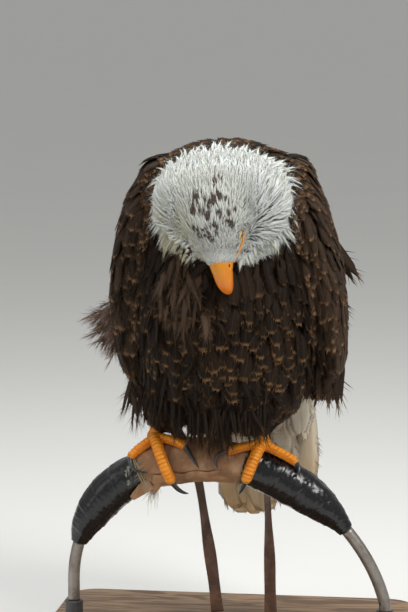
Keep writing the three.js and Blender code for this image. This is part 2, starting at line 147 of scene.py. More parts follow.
class Shell:
    """Points and faces gathered from whole arrays, which become one mesh object."""

    def __init__(self) -> None:
        """Starts with nothing."""
        self.points: list[Array] = []
        self.quads: list[Array] = []
        self.tris: list[Array] = []
        self.values: dict[str, list[Array]] = {}
        self.count = 0

    def add(self, points: Array, quads: Array, tris: Optional[Array] = None,
            **values: Array) -> None:
        """Adds one patch.

        Args:
            points: corners, any shape ending in three.
            quads: four indices a face.
            tris: three indices a face.
            values: numbers at each point; a width of two is a UV map, of four a colour.
        """
        points = points.reshape(-1, 3)
        self.points.append(points)
        self.quads.append(quads.reshape(-1, 4) + self.count)
        if tris is not None:
            self.tris.append(tris.reshape(-1, 3) + self.count)
        for name, value in values.items():
            self.values.setdefault(name, []).append(value.reshape(len(points), -1))
        self.count += len(points)

    def mesh(self, name: str, weld: bool = False) -> bpy.types.Mesh:
        """Makes the smooth mesh, with its maps and values.

        Args:
            name: the mesh's name.
            weld: whether doubled points, such as a seam's, are merged.

        Returns:
            The mesh.
        """
        mesh = bpy.data.meshes.new(name)
        points = np.concatenate(self.points)
        quads = np.concatenate(self.quads)
        tris = np.concatenate(self.tris) if self.tris else np.zeros((0, 3), int)
        corners = np.concatenate([quads.ravel(), tris.ravel()]).astype(np.int32)
        sizes = np.concatenate([np.full(len(quads), 4), np.full(len(tris), 3)])
        mesh.vertices.add(len(points))
        mesh.vertices.foreach_set("co", points.astype(np.float32).ravel())
        mesh.loops.add(len(corners))
        mesh.loops.foreach_set("vertex_index", corners)
        mesh.polygons.add(len(sizes))
        starts = np.concatenate([[0], np.cumsum(sizes)[:-1]]).astype(np.int32)
        mesh.polygons.foreach_set("loop_start", starts)
        for key, parts in self.values.items():
            value = np.concatenate(parts).astype(np.float32)
            if value.shape[1] == 2:
                layer = mesh.uv_layers.new(name=key)
                layer.data.foreach_set("uv", value[corners].ravel())
            elif value.shape[1] == 4:
                layer = mesh.attributes.new(key, "FLOAT_COLOR", "POINT")
                layer.data.foreach_set("color", value.ravel())
            else:
                layer = mesh.attributes.new(key, "FLOAT", "POINT")
                layer.data.foreach_set("value", value.ravel())
        mesh.update(calc_edges=True)
        if weld:
            merge(mesh, 1e-6)
        mesh.polygons.foreach_set("use_smooth", np.ones(len(mesh.polygons), bool))
        return mesh

    def build(self, name: str, finish: "Finish", weld: bool = False) -> bpy.types.Object:
        """Makes the object, dresses it and puts it on the bird's body.

        Args:
            name: the piece's name.
            finish: the finish it wears.
            weld: whether doubled points are merged.

        Returns:
            The new object, at the origin.
        """
        piece = placed(name, self.mesh(name, weld), finish)
        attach(piece, BODY)
        LOG.info("%s: %d faces", name, len(piece.data.polygons))
        return piece


def placed(name: str, data: bpy.types.ID, finish: Optional["Finish"] = None) -> bpy.types.Object:
    """Puts a new object in the scene, in its finish where it has one."""
    made = bpy.data.objects.new(name, data)
    if finish:
        data.materials.append(finish.material())
    bpy.context.scene.collection.objects.link(made)
    return made


def merge(mesh: bpy.types.Mesh, distance: float) -> None:
    """Merges points closer than distance and turns every face outward."""
    work = bmesh.new()
    work.from_mesh(mesh)
    bmesh.ops.remove_doubles(work, verts=work.verts, dist=distance)
    bmesh.ops.dissolve_degenerate(work, edges=work.edges, dist=1e-7)
    bmesh.ops.recalc_face_normals(work, faces=work.faces)
    work.to_mesh(mesh)
    work.free()


def grid_faces(rows: int, columns: int) -> Array:
    """Faces of a grid of points, row after row, with its seam's column doubled."""
    i = np.arange(rows - 1)[:, None] * columns + np.arange(columns - 1)[None, :]
    return np.stack([i, i + 1, i + columns + 1, i + columns], -1).reshape(-1, 4)


def wrapped_faces(rows: int, columns: int) -> Array:
    """Faces of a grid of points whose last column joins its first."""
    i = np.arange(rows * columns).reshape(rows, columns)
    j = np.roll(i, -1, 1)
    return np.stack([i[:-1], j[:-1], j[1:], i[1:]], -1).reshape(-1, 4)


def capped(points: Array, first: Array, last: Array) -> Array:
    """A grid of points with one more row at each end, where the row is a single point."""
    shape = points[:1].shape
    return np.concatenate([np.broadcast_to(first, shape), points, np.broadcast_to(last, shape)])


def frames(path: Array, side: Array) -> tuple[Array, Array, Array]:
    """Unit tangent, side and cross directions along a path.

    Args:
        path: points, row after row.
        side: a direction, or one for each point, which the side is kept close to.

    Returns:
        Tangents, sides square to them, and tangent x side.
    """
    tangent = unit(np.gradient(path, axis=0))
    side = np.broadcast_to(np.asarray(side, float), path.shape)
    side = unit(side - dot(side, tangent) * tangent)
    return tangent, side, np.cross(tangent, side)


def sweep(shell: Shell, path: Array, half: Array, side: Array, around: int = 32,
          cap: float = 0.0, profile: Optional[Array] = None, **values: float) -> None:
    """Adds a tube: an ellipse, or a profile of the ellipse, carried along a path.

    The point at (i, angle) is path[i] + side a cos(angle) m + cross b sin(angle) m, where m
    is the profile there; the two ends close in half-ellipsoids that stand cap beyond them.

    Args:
        shell: what the tube is added to.
        path: centre points.
        half: half-sizes a and b at each of them.
        side: the direction of a.
        around: faces around.
        cap: how far the ends stand out.
        profile: factors of the radius, one row for each point of the path, or None.
        values: numbers that every point of the tube carries.
    """
    def held(row: Array) -> Array:
        """A row for each point of the path, held still over both ends."""
        return np.concatenate([row[:1].repeat(4, 0), row, row[-1:].repeat(4, 0)])

    tangent, side, cross = frames(path, side)
    half = np.broadcast_to(half, (len(path), 2))
    bend = np.array([0.999, 0.92, 0.71, 0.38])
    shrink, out = np.sqrt(1 - bend**2), bend * cap
    path = np.concatenate([path[:1] - tangent[:1] * out[:, None], path,
                           path[-1:] + tangent[-1:] * out[::-1, None]])
    half = np.concatenate([half[:1] * shrink[:, None], half, half[-1:] * shrink[::-1, None]])
    angle = np.linspace(0, TURN, around + 1)
    ring = (held(side)[:, None] * half[:, None, :1] * np.cos(angle)[None, :, None]
            + held(cross)[:, None] * half[:, None, 1:] * np.sin(angle)[None, :, None])
    if profile is not None:
        ring = ring * held(profile)[:, :, None]
    points = capped(path[:, None] + ring, path[0], path[-1])
    carried = {key: np.full((*points.shape[:2], 1), value) for key, value in values.items()}
    shell.add(points, grid_faces(len(points), around + 1), **carried)


# ---------------------------------------------------------------- finishes


class Recipe:
    """A short way to write a material's nodes."""

    def __init__(self, name: str) -> None:
        """Starts a material with one principled shader."""
        self.material = bpy.data.materials.new(name)
        self.material.use_nodes = True
        self.tree = self.material.node_tree
        self.shader = self.tree.nodes["Principled BSDF"]

    def node(self, kind: str, _inputs: Optional[dict] = None, **settings) -> bpy.types.Node:
        """Adds a node, sets its properties, and fills or links its inputs."""
        made = self.tree.nodes.new("ShaderNode" + kind)
        for key, value in settings.items():
            setattr(made, key, value)
        for key, value in (_inputs or {}).items():
            self.put(made.inputs[key], value)
        return made

    def put(self, socket: bpy.types.NodeSocket, value: object) -> None:
        """Links an output to a socket, or sets the socket's own value."""
        if isinstance(value, bpy.types.NodeSocket):
            self.tree.links.new(value, socket)
        elif isinstance(value, tuple) and socket.type == "RGBA":
            socket.default_value = (*value[:3], 1.0)
        else:
            socket.default_value = value

    def set(self, **sockets: object) -> None:
        """Sets or links the shader's sockets; a name's underscores stand for spaces."""
        for key, value in sockets.items():
            self.put(self.shader.inputs[key.replace("_", " ")], value)

    def math(self, operation: str, a: object, b: object = 0.0, clamp: bool = False) -> Socket:
        """One arithmetic step."""
        made = self.node("Math", operation=operation, use_clamp=clamp)
        self.put(made.inputs[0], a)
        self.put(made.inputs[1], b)
        return made.outputs[0]

    def times(self, a: object, b: object, clamp: bool = False) -> Socket:
        """The product of two values."""
        return self.math("MULTIPLY", a, b, clamp)

    def plus(self, a: object, b: object, clamp: bool = False) -> Socket:
        """The sum of two values."""
        return self.math("ADD", a, b, clamp)

    def ramp(self, value: object, low: float, high: float, a: float = 0.0,
             b: float = 1.0) -> Socket:
        """Smooth step of a value from (low, a) to (high, b)."""
        made = self.node("MapRange", interpolation_type="SMOOTHSTEP")
        for socket, number in zip(made.inputs[:5], (value, low, high, a, b)):
            self.put(socket, number)
        return made.outputs[0]

    def mix(self, factor: object, a: object, b: object) -> Socket:
        """Mixes two colours."""
        made = self.node("Mix", data_type="RGBA")
        self.put(made.inputs[0], factor)
        self.put(made.inputs[6], a)
        self.put(made.inputs[7], b)
        return made.outputs[2]

    def place(self, scale: Sequence[float] = (1, 1, 1),
              turn: Sequence[float] = (0, 0, 0)) -> Socket:
        """Object coordinates, stretched and turned."""
        source = self.node("TexCoord").outputs["Object"]
        return self.node("Mapping", {"Vector": source, "Scale": scale,
                                     "Rotation": turn}).outputs[0]

    def noise(self, where: object, scale: float, detail: float = 4.0, rough: float = 0.55,
              distort: float = 0.0) -> Socket:
        """Noise from 0 to 1."""
        return self.node("TexNoise", {"Vector": where, "Scale": scale, "Detail": detail,
                                      "Roughness": rough, "Distortion": distort}).outputs[0]

    def cells(self, where: object, scale: float) -> Socket:
        """Distance to the nearest of many seeds."""
        return self.node("TexVoronoi", {"Vector": where, "Scale": scale}).outputs["Distance"]

    def attribute(self, name: str) -> tuple[Socket, Socket, Socket]:
        """The red, green and blue of a piece's own attribute."""
        made = self.node("Attribute", attribute_name=name)
        split = self.node("SeparateColor", {"Color": made.outputs["Color"]})
        return split.outputs[0], split.outputs[1], split.outputs[2]

    def bump(self, height: object, strength: float, distance: float) -> None:
        """Puts a height on the shader's normal."""
        made = self.node("Bump", {"Height": height, "Strength": strength, "Distance": distance})
        self.put(self.shader.inputs["Normal"], made.outputs[0])


@dataclass(frozen=True)
class Finish:
    """A finish: a slot of the record, and the recipe that a subclass writes."""

    name: str
    slot: str

    def write(self, recipe: Recipe) -> None:
        """Writes the finish's nodes."""
        raise NotImplementedError

    def material(self) -> bpy.types.Material:
        """The finish's material, made once."""
        found = bpy.data.materials.get(self.name)
        if found is None:
            recipe = Recipe(self.name)
            self.write(recipe)
            found = recipe.material
        return found


@dataclass(frozen=True)
class VaneFinish(Finish):
    """Feather: dark and light shades, a pale tip rim, a shaft line and raked barbs.

    The piece's Lay attribute holds each feather's shade, tip strength and mark; its Vane map
    runs across each feather from 0 to 1 and along it from 0 to 1.

    Attributes:
        dark: colour of a feather at shade 0.
        light: colour of one at shade 1.
        tip: colour of the rim and the shaft.
        mark: colour of the flecks.
        rough: roughness.
        rim: places along the feather where the rim begins and is full.
        shaft: strength of the shaft's line.
        streak: strength of the light streaks between barbs.
        gloss: level of reflection.
        soft: how much light passes under the surface.
        relief: strength of the bump.
        bleed: how far each colour of that light goes, as shares of the depth.
        depth: how far it goes, in metres.
    """

    dark: tuple = (0.0052, 0.0030, 0.0018)
    light: tuple = (0.037, 0.0208, 0.0120)
    tip: tuple = (0.25, 0.137, 0.062)
    mark: tuple = (0.05, 0.028, 0.020)
    rough: float = 0.62
    rim: tuple = (0.82, 0.97)
    shaft: float = 0.12
    streak: float = 0.5
    gloss: float = 0.12
    soft: float = 0.0
    relief: float = 0.5
    bleed: tuple = (1.0, 0.93, 0.84)
    depth: float = 0.004

    def write(self, recipe: Recipe) -> None:
        """Colour by feather and by place on the vane, and a bump of barbs."""
        shade, tip, mark = recipe.attribute("Lay")
        vane = recipe.node("UVMap", uv_map="Vane").outputs[0]
        split = recipe.node("SeparateXYZ", {"Vector": vane})
        across, length = split.outputs[0], split.outputs[1]
        off = recipe.math("ABSOLUTE", recipe.math("SUBTRACT", across, 0.5))
        raked = recipe.math("SUBTRACT", length, recipe.times(off, 0.75))
        seat = recipe.node("CombineXYZ", {"X": recipe.times(raked, 26.0),
                                          "Y": recipe.times(shade, 57.0),
                                          "Z": recipe.times(off, 2.0)}).outputs[0]
        barbs = recipe.noise(seat, 1.7, 3.0, 0.65)
        streaks = recipe.times(recipe.ramp(barbs, 0.35, 0.68), self.streak)
        base = recipe.mix(0.5, recipe.mix(shade, self.dark, self.light),
                          recipe.mix(streaks, self.dark, self.light))
        worn = recipe.plus(length, recipe.times(recipe.math("SUBTRACT", barbs, 0.5), 0.16))
        sides = recipe.times(recipe.ramp(off, 0.38, 0.5), recipe.ramp(worn, 0.55, 0.95))
        edge = recipe.math("MAXIMUM", recipe.ramp(worn, *self.rim), sides)
        base = recipe.mix(recipe.times(edge, tip, True), base, self.tip)
        quill = recipe.times(recipe.ramp(off, 0.0, 0.05, 1.0, 0.0), self.shaft)
        base = recipe.mix(quill, base, self.tip)
        fleck = recipe.times(mark, recipe.ramp(worn, 0.25, 0.6), True)
        recipe.set(Base_Color=recipe.mix(fleck, base, self.mark), Roughness=self.rough,
                   Specular_IOR_Level=self.gloss, Subsurface_Weight=self.soft,
                   Subsurface_Scale=self.depth, Subsurface_Radius=self.bleed)
        recipe.bump(recipe.plus(barbs, recipe.times(quill, 0.6)), self.relief, 0.0006)


@dataclass(frozen=True)
class SkinFinish(Finish):
    """Bare skin under the coat, tinted by what grows on it, and scaled yellow on the feet."""

    pale: tuple = (0.74, 0.73, 0.69)
    dusky: tuple = (0.040, 0.027, 0.020)
    toes: tuple = (0.60, 0.17, 0.006)
    bright_toes: tuple = (0.88, 0.34, 0.012)
    fleck: tuple = (0.06, 0.035, 0.025)
    pore: tuple = (0.1, 0.05, 0.02)

    def write(self, recipe: Recipe) -> None:
        """Mixes the three tints by the Zone attribute, with pores and folds as bump."""
        white, foot, mark = recipe.attribute("Zone")
        where = recipe.place()
        pores = recipe.noise(where, 900.0, 3.0)
        base = recipe.mix(white, self.dusky, self.pale)
        base = recipe.mix(recipe.times(mark, 0.9), base, self.fleck)
        orange = recipe.mix(recipe.noise(where, 160.0), self.toes, self.bright_toes)
        base = recipe.mix(foot, base, orange)
        base = recipe.mix(recipe.times(pores, 0.25), base, self.pore)
        recipe.set(Base_Color=base, Roughness=0.5, Subsurface_Weight=0.08,
                   Subsurface_Scale=0.004)
        recipe.bump(recipe.cells(where, 1100.0), 0.35, 0.0006)


@dataclass(frozen=True)
class HornFinish(Finish):
    """Horn of the bill or a claw: growth streaks along it, fine pits and a soft gloss."""

    base: tuple = (0.68, 0.285, 0.003)
    deep: tuple = (0.70, 0.165, 0.001)
    rough: float = 0.38
    coat: float = 0.12
    streak: tuple = (140.0, 140.0, 20.0)
    wear: float = 0.25

    def write(self, recipe: Recipe) -> None:
        """Mixes the two tints by noise drawn out along the piece and by its Grow value."""
        grow = recipe.node("Attribute", attribute_name="Grow").outputs["Fac"]
        grain = recipe.noise(recipe.place(self.streak), 1.0, 5.0, 0.6)
        fine = recipe.noise(recipe.place(), 700.0, 3.0)
        factor = recipe.plus(recipe.times(grow, 0.8),
                             recipe.times(recipe.ramp(grain, 0.35, 0.7), 0.35), True)
        base = recipe.mix(factor, self.base, self.deep)
        base = recipe.mix(recipe.times(recipe.ramp(fine, 0.5, 0.75), self.wear),
                          base, tuple(0.62 * c + 0.02 for c in self.base))
        recipe.set(Base_Color=base, Coat_Weight=self.coat, Coat_Roughness=0.25,
                   Roughness=recipe.ramp(grain, 0.2, 0.8, self.rough - 0.06, self.rough + 0.1))
        recipe.bump(recipe.plus(grain, recipe.times(fine, 0.4)), 0.35, 0.0004)


@dataclass(frozen=True)
class LeatherFinish(Finish):
    """Leather: pebbled grain, creases, scuffs and stains."""

    base: tuple = (0.22, 0.115, 0.065)
    worn: tuple = (0.36, 0.20, 0.115)
    stain: tuple = (0.10, 0.055, 0.036)
    rough: float = 0.62
    grain: float = 900.0

    def write(self, recipe: Recipe) -> None:
        """Cells make the grain, stretched noise the creases, and two noises the wear."""
        where = recipe.place()
        cells = recipe.cells(where, self.grain)
        wear = recipe.noise(where, 45.0, 6.0, 0.6)
        creases = recipe.noise(recipe.place((60, 160, 160), (0, 0.3, 0)), 1.0, 4.0, 0.6, 0.4)
        base = recipe.mix(recipe.ramp(wear, 0.42, 0.68), self.base, self.worn)
        base = recipe.mix(recipe.ramp(recipe.noise(where, 26.0, 5.0), 0.52, 0.75, 0.0, 0.8),
                          base, self.stain)
        base = recipe.mix(recipe.ramp(cells, 0.0, 0.5, 0.25, 0.0), base, self.stain)
        recipe.set(Base_Color=base, Roughness=recipe.ramp(wear, 0.3, 0.7, self.rough + 0.1,
                                                          self.rough - 0.12))
        height = recipe.plus(recipe.times(cells, 0.5),
                             recipe.times(creases, 1.2))
        recipe.bump(height, 0.55, 0.0010)


@dataclass(frozen=True)
class TapeFinish(Finish):
    """Glossy black wrapping tape with scuffs, dust and dried paint."""

    base: tuple = (0.0035, 0.0038, 0.0055)
    dust: tuple = (0.24, 0.25, 0.20)
    scuff: tuple = (0.03, 0.038, 0.06)
    rough: float = 0.16

    def write(self, recipe: Recipe) -> None:
        """Dark base, dust where noise is high or the Worn value says, and long creases."""
        worn = recipe.node("Attribute", attribute_name="Worn").outputs["Fac"]
        where = recipe.place()
        patch = recipe.noise(where, 70.0, 7.0, 0.68)
        scuff = recipe.noise(recipe.place((260, 90, 260), (0.2, 0.5, 0)), 1.0, 4.0)
        mask = recipe.ramp(recipe.plus(patch, recipe.times(worn, 0.3)),
                           0.70, 0.76)
        base = recipe.mix(mask, self.base, self.dust)
        base = recipe.mix(recipe.ramp(scuff, 0.62, 0.82, 0.0, 0.25), base, self.scuff)
        recipe.set(Base_Color=base, Coat_Weight=0.3, Coat_Roughness=0.10,
                   Specular_IOR_Level=0.4,
                   Roughness=recipe.plus(recipe.times(mask, 0.5),
                                         recipe.ramp(scuff, 0.3, 0.8, self.rough,
                                                     self.rough + 0.22), True))
        recipe.bump(recipe.plus(patch, scuff), 0.3, 0.0012)


@dataclass(frozen=True)
class MetalFinish(Finish):
    """Drawn or painted metal: fine lines, dull patches and small pits."""

    base: tuple = (0.34, 0.31, 0.28)
    dull: tuple = (0.20, 0.17, 0.15)
    rough: float = 0.42
    metallic: float = 0.85
    lines: tuple = (900.0, 900.0, 30.0)

    def write(self, recipe: Recipe) -> None:
        """Mixes the tints by broad noise and roughens by noise drawn out along the piece."""
        lines = recipe.noise(recipe.place(self.lines), 1.0, 3.0)
        patch = recipe.noise(recipe.place(), 60.0, 6.0)
        base = recipe.mix(recipe.ramp(patch, 0.4, 0.7), self.base, self.dull)
        recipe.set(Base_Color=base, Metallic=self.metallic,
                   Roughness=recipe.ramp(lines, 0.25, 0.75, self.rough - 0.1, self.rough + 0.14))
        recipe.bump(lines, 0.2, 0.0003)


@dataclass(frozen=True)
class WoodFinish(Finish):
    """Oiled wood: rings stretched along the board, pores and a darker edge to each ring."""

    light: tuple = (0.30, 0.19, 0.105)
    dark: tuple = (0.13, 0.075, 0.040)

    def write(self, recipe: Recipe) -> None:
        """Rings are a sine of stretched, bent distance; pores are short streaks."""
        where = recipe.place((3.0, 26.0, 26.0))
        bent = recipe.noise(where, 1.0, 4.0, 0.5, 0.8)
        rings = recipe.math("SINE", recipe.times(bent, 46.0))
        pores = recipe.noise(recipe.place((60.0, 1100.0, 1100.0)), 1.0, 2.0)
        base = recipe.mix(recipe.ramp(rings, -0.9, 1.0), self.light, self.dark)
        base = recipe.mix(recipe.ramp(pores, 0.55, 0.72, 0.0, 0.6), base, self.dark)
        recipe.set(Base_Color=base, Roughness=recipe.ramp(pores, 0.3, 0.7, 0.42, 0.6))
        recipe.bump(recipe.plus(rings, recipe.times(pores, -1.5)), 0.18, 0.0006)


@dataclass(frozen=True)
class EyeFinish(Finish):
    """Eye: round pupil, pale iris with fine spokes and a dark rim, wet over all."""

    iris: tuple = (0.80, 0.62, 0.24)
    rim: tuple = (0.16, 0.10, 0.035)
    pupil: tuple = (0.004, 0.004, 0.004)

    def write(self, recipe: Recipe) -> None:
        """The Look map's height is the distance from the middle of the pupil."""
        look = recipe.node("UVMap", uv_map="Look").outputs[0]
        split = recipe.node("SeparateXYZ", {"Vector": look})
        spokes = recipe.noise(recipe.node("CombineXYZ", {
            "X": recipe.times(split.outputs[0], 60.0),
            "Y": recipe.times(split.outputs[1], 3.0)}).outputs[0], 1.0, 3.0)
        iris = recipe.mix(recipe.ramp(spokes, 0.3, 0.7), self.iris,
                          tuple(0.6 * c for c in self.iris))
        iris = recipe.mix(recipe.ramp(split.outputs[1], 0.40, 0.47), iris, self.rim)
        base = recipe.mix(recipe.ramp(split.outputs[1], 0.165, 0.185, 1.0, 0.0), iris,
                          self.pupil)
        recipe.set(Base_Color=base, Roughness=0.18, Coat_Weight=1.0, Coat_Roughness=0.02,
                   Specular_IOR_Level=0.6)


@dataclass(frozen=True)
class FloorFinish(Finish):
    """The pale studio floor."""

    tone: tuple = (0.80, 0.80, 0.78)

    def write(self, recipe: Recipe) -> None:
        """Nearly even, with a faint mottle."""
        mottle = recipe.noise(recipe.place(), 3.0)
        recipe.set(Base_Color=recipe.mix(mottle, self.tone, tuple(0.97 * c for c in self.tone)),
                   Roughness=0.75)


# ---------------------------------------------------------------- the bird's form


class Zone(Enum):
    """What part of the bird a limb is; the tail and the quills are feathers with no flesh."""

    HEAD = "head"
    NECK = "neck"
    TRUNK = "trunk"
    WING = "wing"
    QUILLS = "quills"
    TAIL = "tail"
    LEG = "leg"


@dataclass(frozen=True)
class Limb:
    """An ellipse swept along a line: rows of x, y, z, half-width and half-depth.

    Sizes are in millimetres and heights are from the perch's level. The coat's depth is how
    far the skin lies under it.
    """

    name: str
    zone: Zone
    rows: tuple
    side: tuple
    caps: tuple
    coat: float
    samples: int = 17

    @property
    def flesh(self) -> bool:
        """Whether the skin covers it."""
        return self.zone not in (Zone.TAIL, Zone.QUILLS)

    def at(self, t: Array) -> tuple[Array, Array, Array, Array, Array]:
        """Centre, tangent, side, cross and half-sizes at places along it, in metres."""
        fine = np.linspace(0, 1, 65)
        line = along(self.rows, fine)
        centre = line[:, :3] * MM + np.array([0, 0, PERCH_LEVEL * MM])
        look = np.clip(fine[:, None] + np.array([-0.15, 0.15]), 0, 1)
        ends = along(np.asarray(self.rows)[:, :3], look)
        tangent = unit(ends[:, 1] - ends[:, 0])
        side = np.broadcast_to(np.asarray(self.side, float), centre.shape)
        side = unit(side - dot(side, tangent) * tangent)
        cross = np.cross(tangent, side)
        every = np.concatenate([centre, tangent, side, cross, line[:, 3:] * MM], 1)
        place = np.clip(t, 0, 1) * 64
        i = np.minimum(place.astype(int), 63)
        f = (place - i)[..., None]
        v = every[i] * (1 - f) + every[i + 1] * f
        return v[..., :3], v[..., 3:6], v[..., 6:9], v[..., 9:12], v[..., 12:14]

    def surface(self, t: Array, angle: Array, puff: float = 0.0) -> tuple[Array, Array]:
        """Points of the surface, and its half-sizes there.

        Args:
            t: place along it; from -1 to 0 and from 1 to 2 it runs over the round ends.
            angle: angle around it, from its side direction.
            puff: how far outside the surface, in metres.

        Returns:
            Points, and the half-sizes after the ends' narrowing.
        """
        centre, tangent, side, cross, half = self.at(t)
        over = np.where(t < 0, t, np.where(t > 1, t - 1, 0.0)) * math.pi / 2
        cap = np.where(t < 0, self.caps[0], self.caps[1]) * MM
        half = (half + puff) * np.cos(over)[..., None]
        centre = centre + tangent * (np.sin(over) * cap)[..., None]
        return (centre + side * half[..., :1] * np.cos(angle)[..., None]
                + cross * half[..., 1:] * np.sin(angle)[..., None]), half

    def height(self, points: Array) -> tuple[Array, Array]:
        """How far points are over the surface, and which way the limb runs there.

        The nearest place on the centre line gives a local frame; with r the distance and q
        the distance in half-sizes, the height is r - r / q.

        Args:
            points: rows of x, y, z in metres.

        Returns:
            Heights in metres, and unit tangents.
        """
        centre, tangent, side, cross, half = self.at(np.linspace(0, 1, self.samples))
        step = centre[1:] - centre[:-1]
        square = np.sum(step * step, -1)
        lean = points @ step.T - np.sum(centre[:-1] * step, -1)
        t = np.clip(lean / square, 0, 1)
        flat = (np.sum(points * points, -1)[:, None] - 2 * points @ centre[:-1].T
                + np.sum(centre[:-1] ** 2, -1))
        far = flat - 2 * t * lean + t * t * square
        i = np.argmin(far, 1)
        f = np.take_along_axis(t, i[:, None], 1)
        every = np.concatenate([centre, tangent, side, cross, half], 1)
        v = every[i] * (1 - f) + every[i + 1] * f
        local = points - v[:, :3]
        x = np.sum(local * v[:, 6:9], 1)
        y = np.sum(local * v[:, 9:12], 1)
        w = np.sum(local * v[:, 3:6], 1)
        cap = np.where(w < 0, self.caps[0], self.caps[1]) * MM
        r = np.sqrt(x * x + y * y + w * w) + 1e-9
        q = np.sqrt((x / v[:, 12]) ** 2 + (y / v[:, 13]) ** 2 + (w / cap) ** 2) + 1e-9
        return np.maximum(r - r / q, -np.minimum(v[:, 12], v[:, 13])), unit(v[:, 3:6])


def head_axes() -> tuple[Array, Array, Array, Array]:
    """The head's centre, and its directions along the bill, to its left and out of the crown."""
    bill = unit(np.array([0.16, -0.06, -0.98]))
    crown = np.array([-0.14, -1.0, 0.0])
    crown = unit(crown - np.dot(crown, bill) * bill)
    return (np.array([3.0, -122.0, 316.0 + PERCH_LEVEL]) * MM, bill, np.cross(crown, bill),
            crown)


def on_head(rows: Sequence) -> Array:
    """Points given along the bill, to the left and out of the crown, in mm, put in place."""
    rows = np.asarray(rows, float) * MM
    centre, bill, left, crown = head_axes()
    return centre + rows[..., :1] * bill + rows[..., 1:2] * left + rows[..., 2:3] * crown


def in_head(points: Array) -> tuple[Array, Array, Array]:
    """How far points are along the bill, to the left and out of the crown, in mm."""
    local = (points - head_axes()[0]) / MM
    return tuple(local @ axis for axis in head_axes()[1:])


def head_row(h: float, l: float, c: float, wide: float, deep: float) -> tuple:
    """A limb's row for a station of the head."""
    p = on_head((h, l, c)) / MM
    return (p[0], p[1], p[2] - PERCH_LEVEL, wide, deep)


def limbs() -> list[Limb]:
    """Every limb of the bird, at the outside of its coat."""
    left = tuple(head_axes()[2])
    made = [
        Limb("head", Zone.HEAD, (head_row(-30, 0, -2, 45, 39), head_row(-8, 0, 0, 46, 41),
                                 head_row(16, 0, 0, 37, 35), head_row(32, 0, -1, 28, 26),
                                 head_row(46, 0, 0, 20.5, 20.5)),
             left, (30, 10), 4.5),
        Limb("neck", Zone.NECK, ((0, 18, 364, 82, 46), (3, -40, 360, 88, 58),
                                 (7, -102, 335, 92, 70)), (1, 0, 0), (30, 32), 24),
        Limb("trunk", Zone.TRUNK, ((0, 16, 370, 100, 68), (0, 12, 300, 120, 97),
                                   (0, 8, 225, 125, 113), (0, 10, 150, 124, 115),
                                   (2, 14, 84, 112, 98), (2, 16, 56, 102, 84)),
             (1, 0, 0), (53, 38), 18),
        Limb("tail", Zone.TAIL, ((8, 94, 124, 60, 40), (22, 126, 50, 68, 18),
                                 (34, 144, -30, 75, 10), (40, 153, -92, 75, 6)),
             (1, 0, 0), (30, 36), 14),
        Limb("leg_right", Zone.LEG, ((-62, 10, 92, 36, 46), (-72, 6, 66, 38, 46),
                                     (-83, 5, 42, 33, 37), (-87, 6, 22, 24, 26)),
             (1, 0, 0), (30, 10), 12),
        Limb("leg_left", Zone.LEG, ((58, 10, 92, 36, 46), (56, 6, 66, 40, 46),
                                    (48, 5, 42, 35, 38), (43, 6, 22, 24, 26)),
             (1, 0, 0), (30, 10), 12),
    ]
    for name, s, p in (("left", 1, 15.0), ("right", -1, -1.0)):
        made.append(Limb(
            "wing_" + name, Zone.WING,
            ((80 * s, 24, 366, 56, 40), (106 * s, 30, 305, 74, 38),
             ((121 + 0.3 * p) * s, 44, 225, 80, 34), ((125 + 0.5 * p) * s, 60, 145, 72, 30),
             ((117 + p) * s, 78, 84 + 1.3 * p, 50, 23 - 0.2 * p)),
            (-0.3 * s, 1, 0), (32, 30), 10))
        made.append(Limb(
            "quills_" + name, Zone.QUILLS,
            ((90 * s, 84, 238, 42, 25), (92 * s, 98, 170, 60, 25),
             ((84 + 0.3 * p) * s, 118, 95, 62, 20), (62 * s + 6, 148, 22, 46, 12),
             (42 * s + 18, 167, -48, 25, 7)),
            (-0.6 * s, 0.9, 0), (44, 26), 10))
    return made


class Lattice:
    """The form's height, slope, lie and coat depth, held on a box of evenly spaced points."""

    def __init__(self, form: "Form", low: Array, high: Array, step: float) -> None:
        """Works the form out on the box.

        Args:
            form: what is held.
            low: the box's lowest corner.
            high: its highest.
            step: the spacing of its points.
        """
        self.low, self.step = low, step
        self.size = np.ceil((high - low) / step).astype(int) + 1
        axes = [low[k] + step * np.arange(self.size[k]) for k in range(3)]
        points = np.stack(np.meshgrid(*axes, indexing="ij"), -1).reshape(-1, 3)
        height, lie, coat = form.work(points)
        cube = height.reshape(self.size)
        slope = np.stack(np.gradient(cube, step), -1).reshape(-1, 3)
        self.held = np.concatenate([height[:, None], slope, lie, coat[:, None]], 1)
        self.held = self.held.astype(np.float32)

    def covers(self, points: Array) -> Array:
        """Whether each point is inside the box."""
        top = self.low + self.step * (self.size - 1)
        return np.all((points > self.low) & (points < top), -1)

    def read(self, points: Array) -> Array:
        """Height, slope, lie and coat depth at points, blended from the eight about each."""
        place = np.clip((points - self.low) / self.step, 0, self.size - 1.001)
        i = place.astype(int)
        f = place - i
        total = np.zeros((len(points), self.held.shape[1]))
        for dx in (0, 1):
            for dy in (0, 1):
                for dz in (0, 1):
                    share = (np.abs(1 - dx - f[:, 0]) * np.abs(1 - dy - f[:, 1])
                             * np.abs(1 - dz - f[:, 2]))
                    index = (((i[:, 0] + dx) * self.size[1] + i[:, 1] + dy) * self.size[2]
                             + i[:, 2] + dz)
                    total += share[:, None] * self.held[index]
        return total


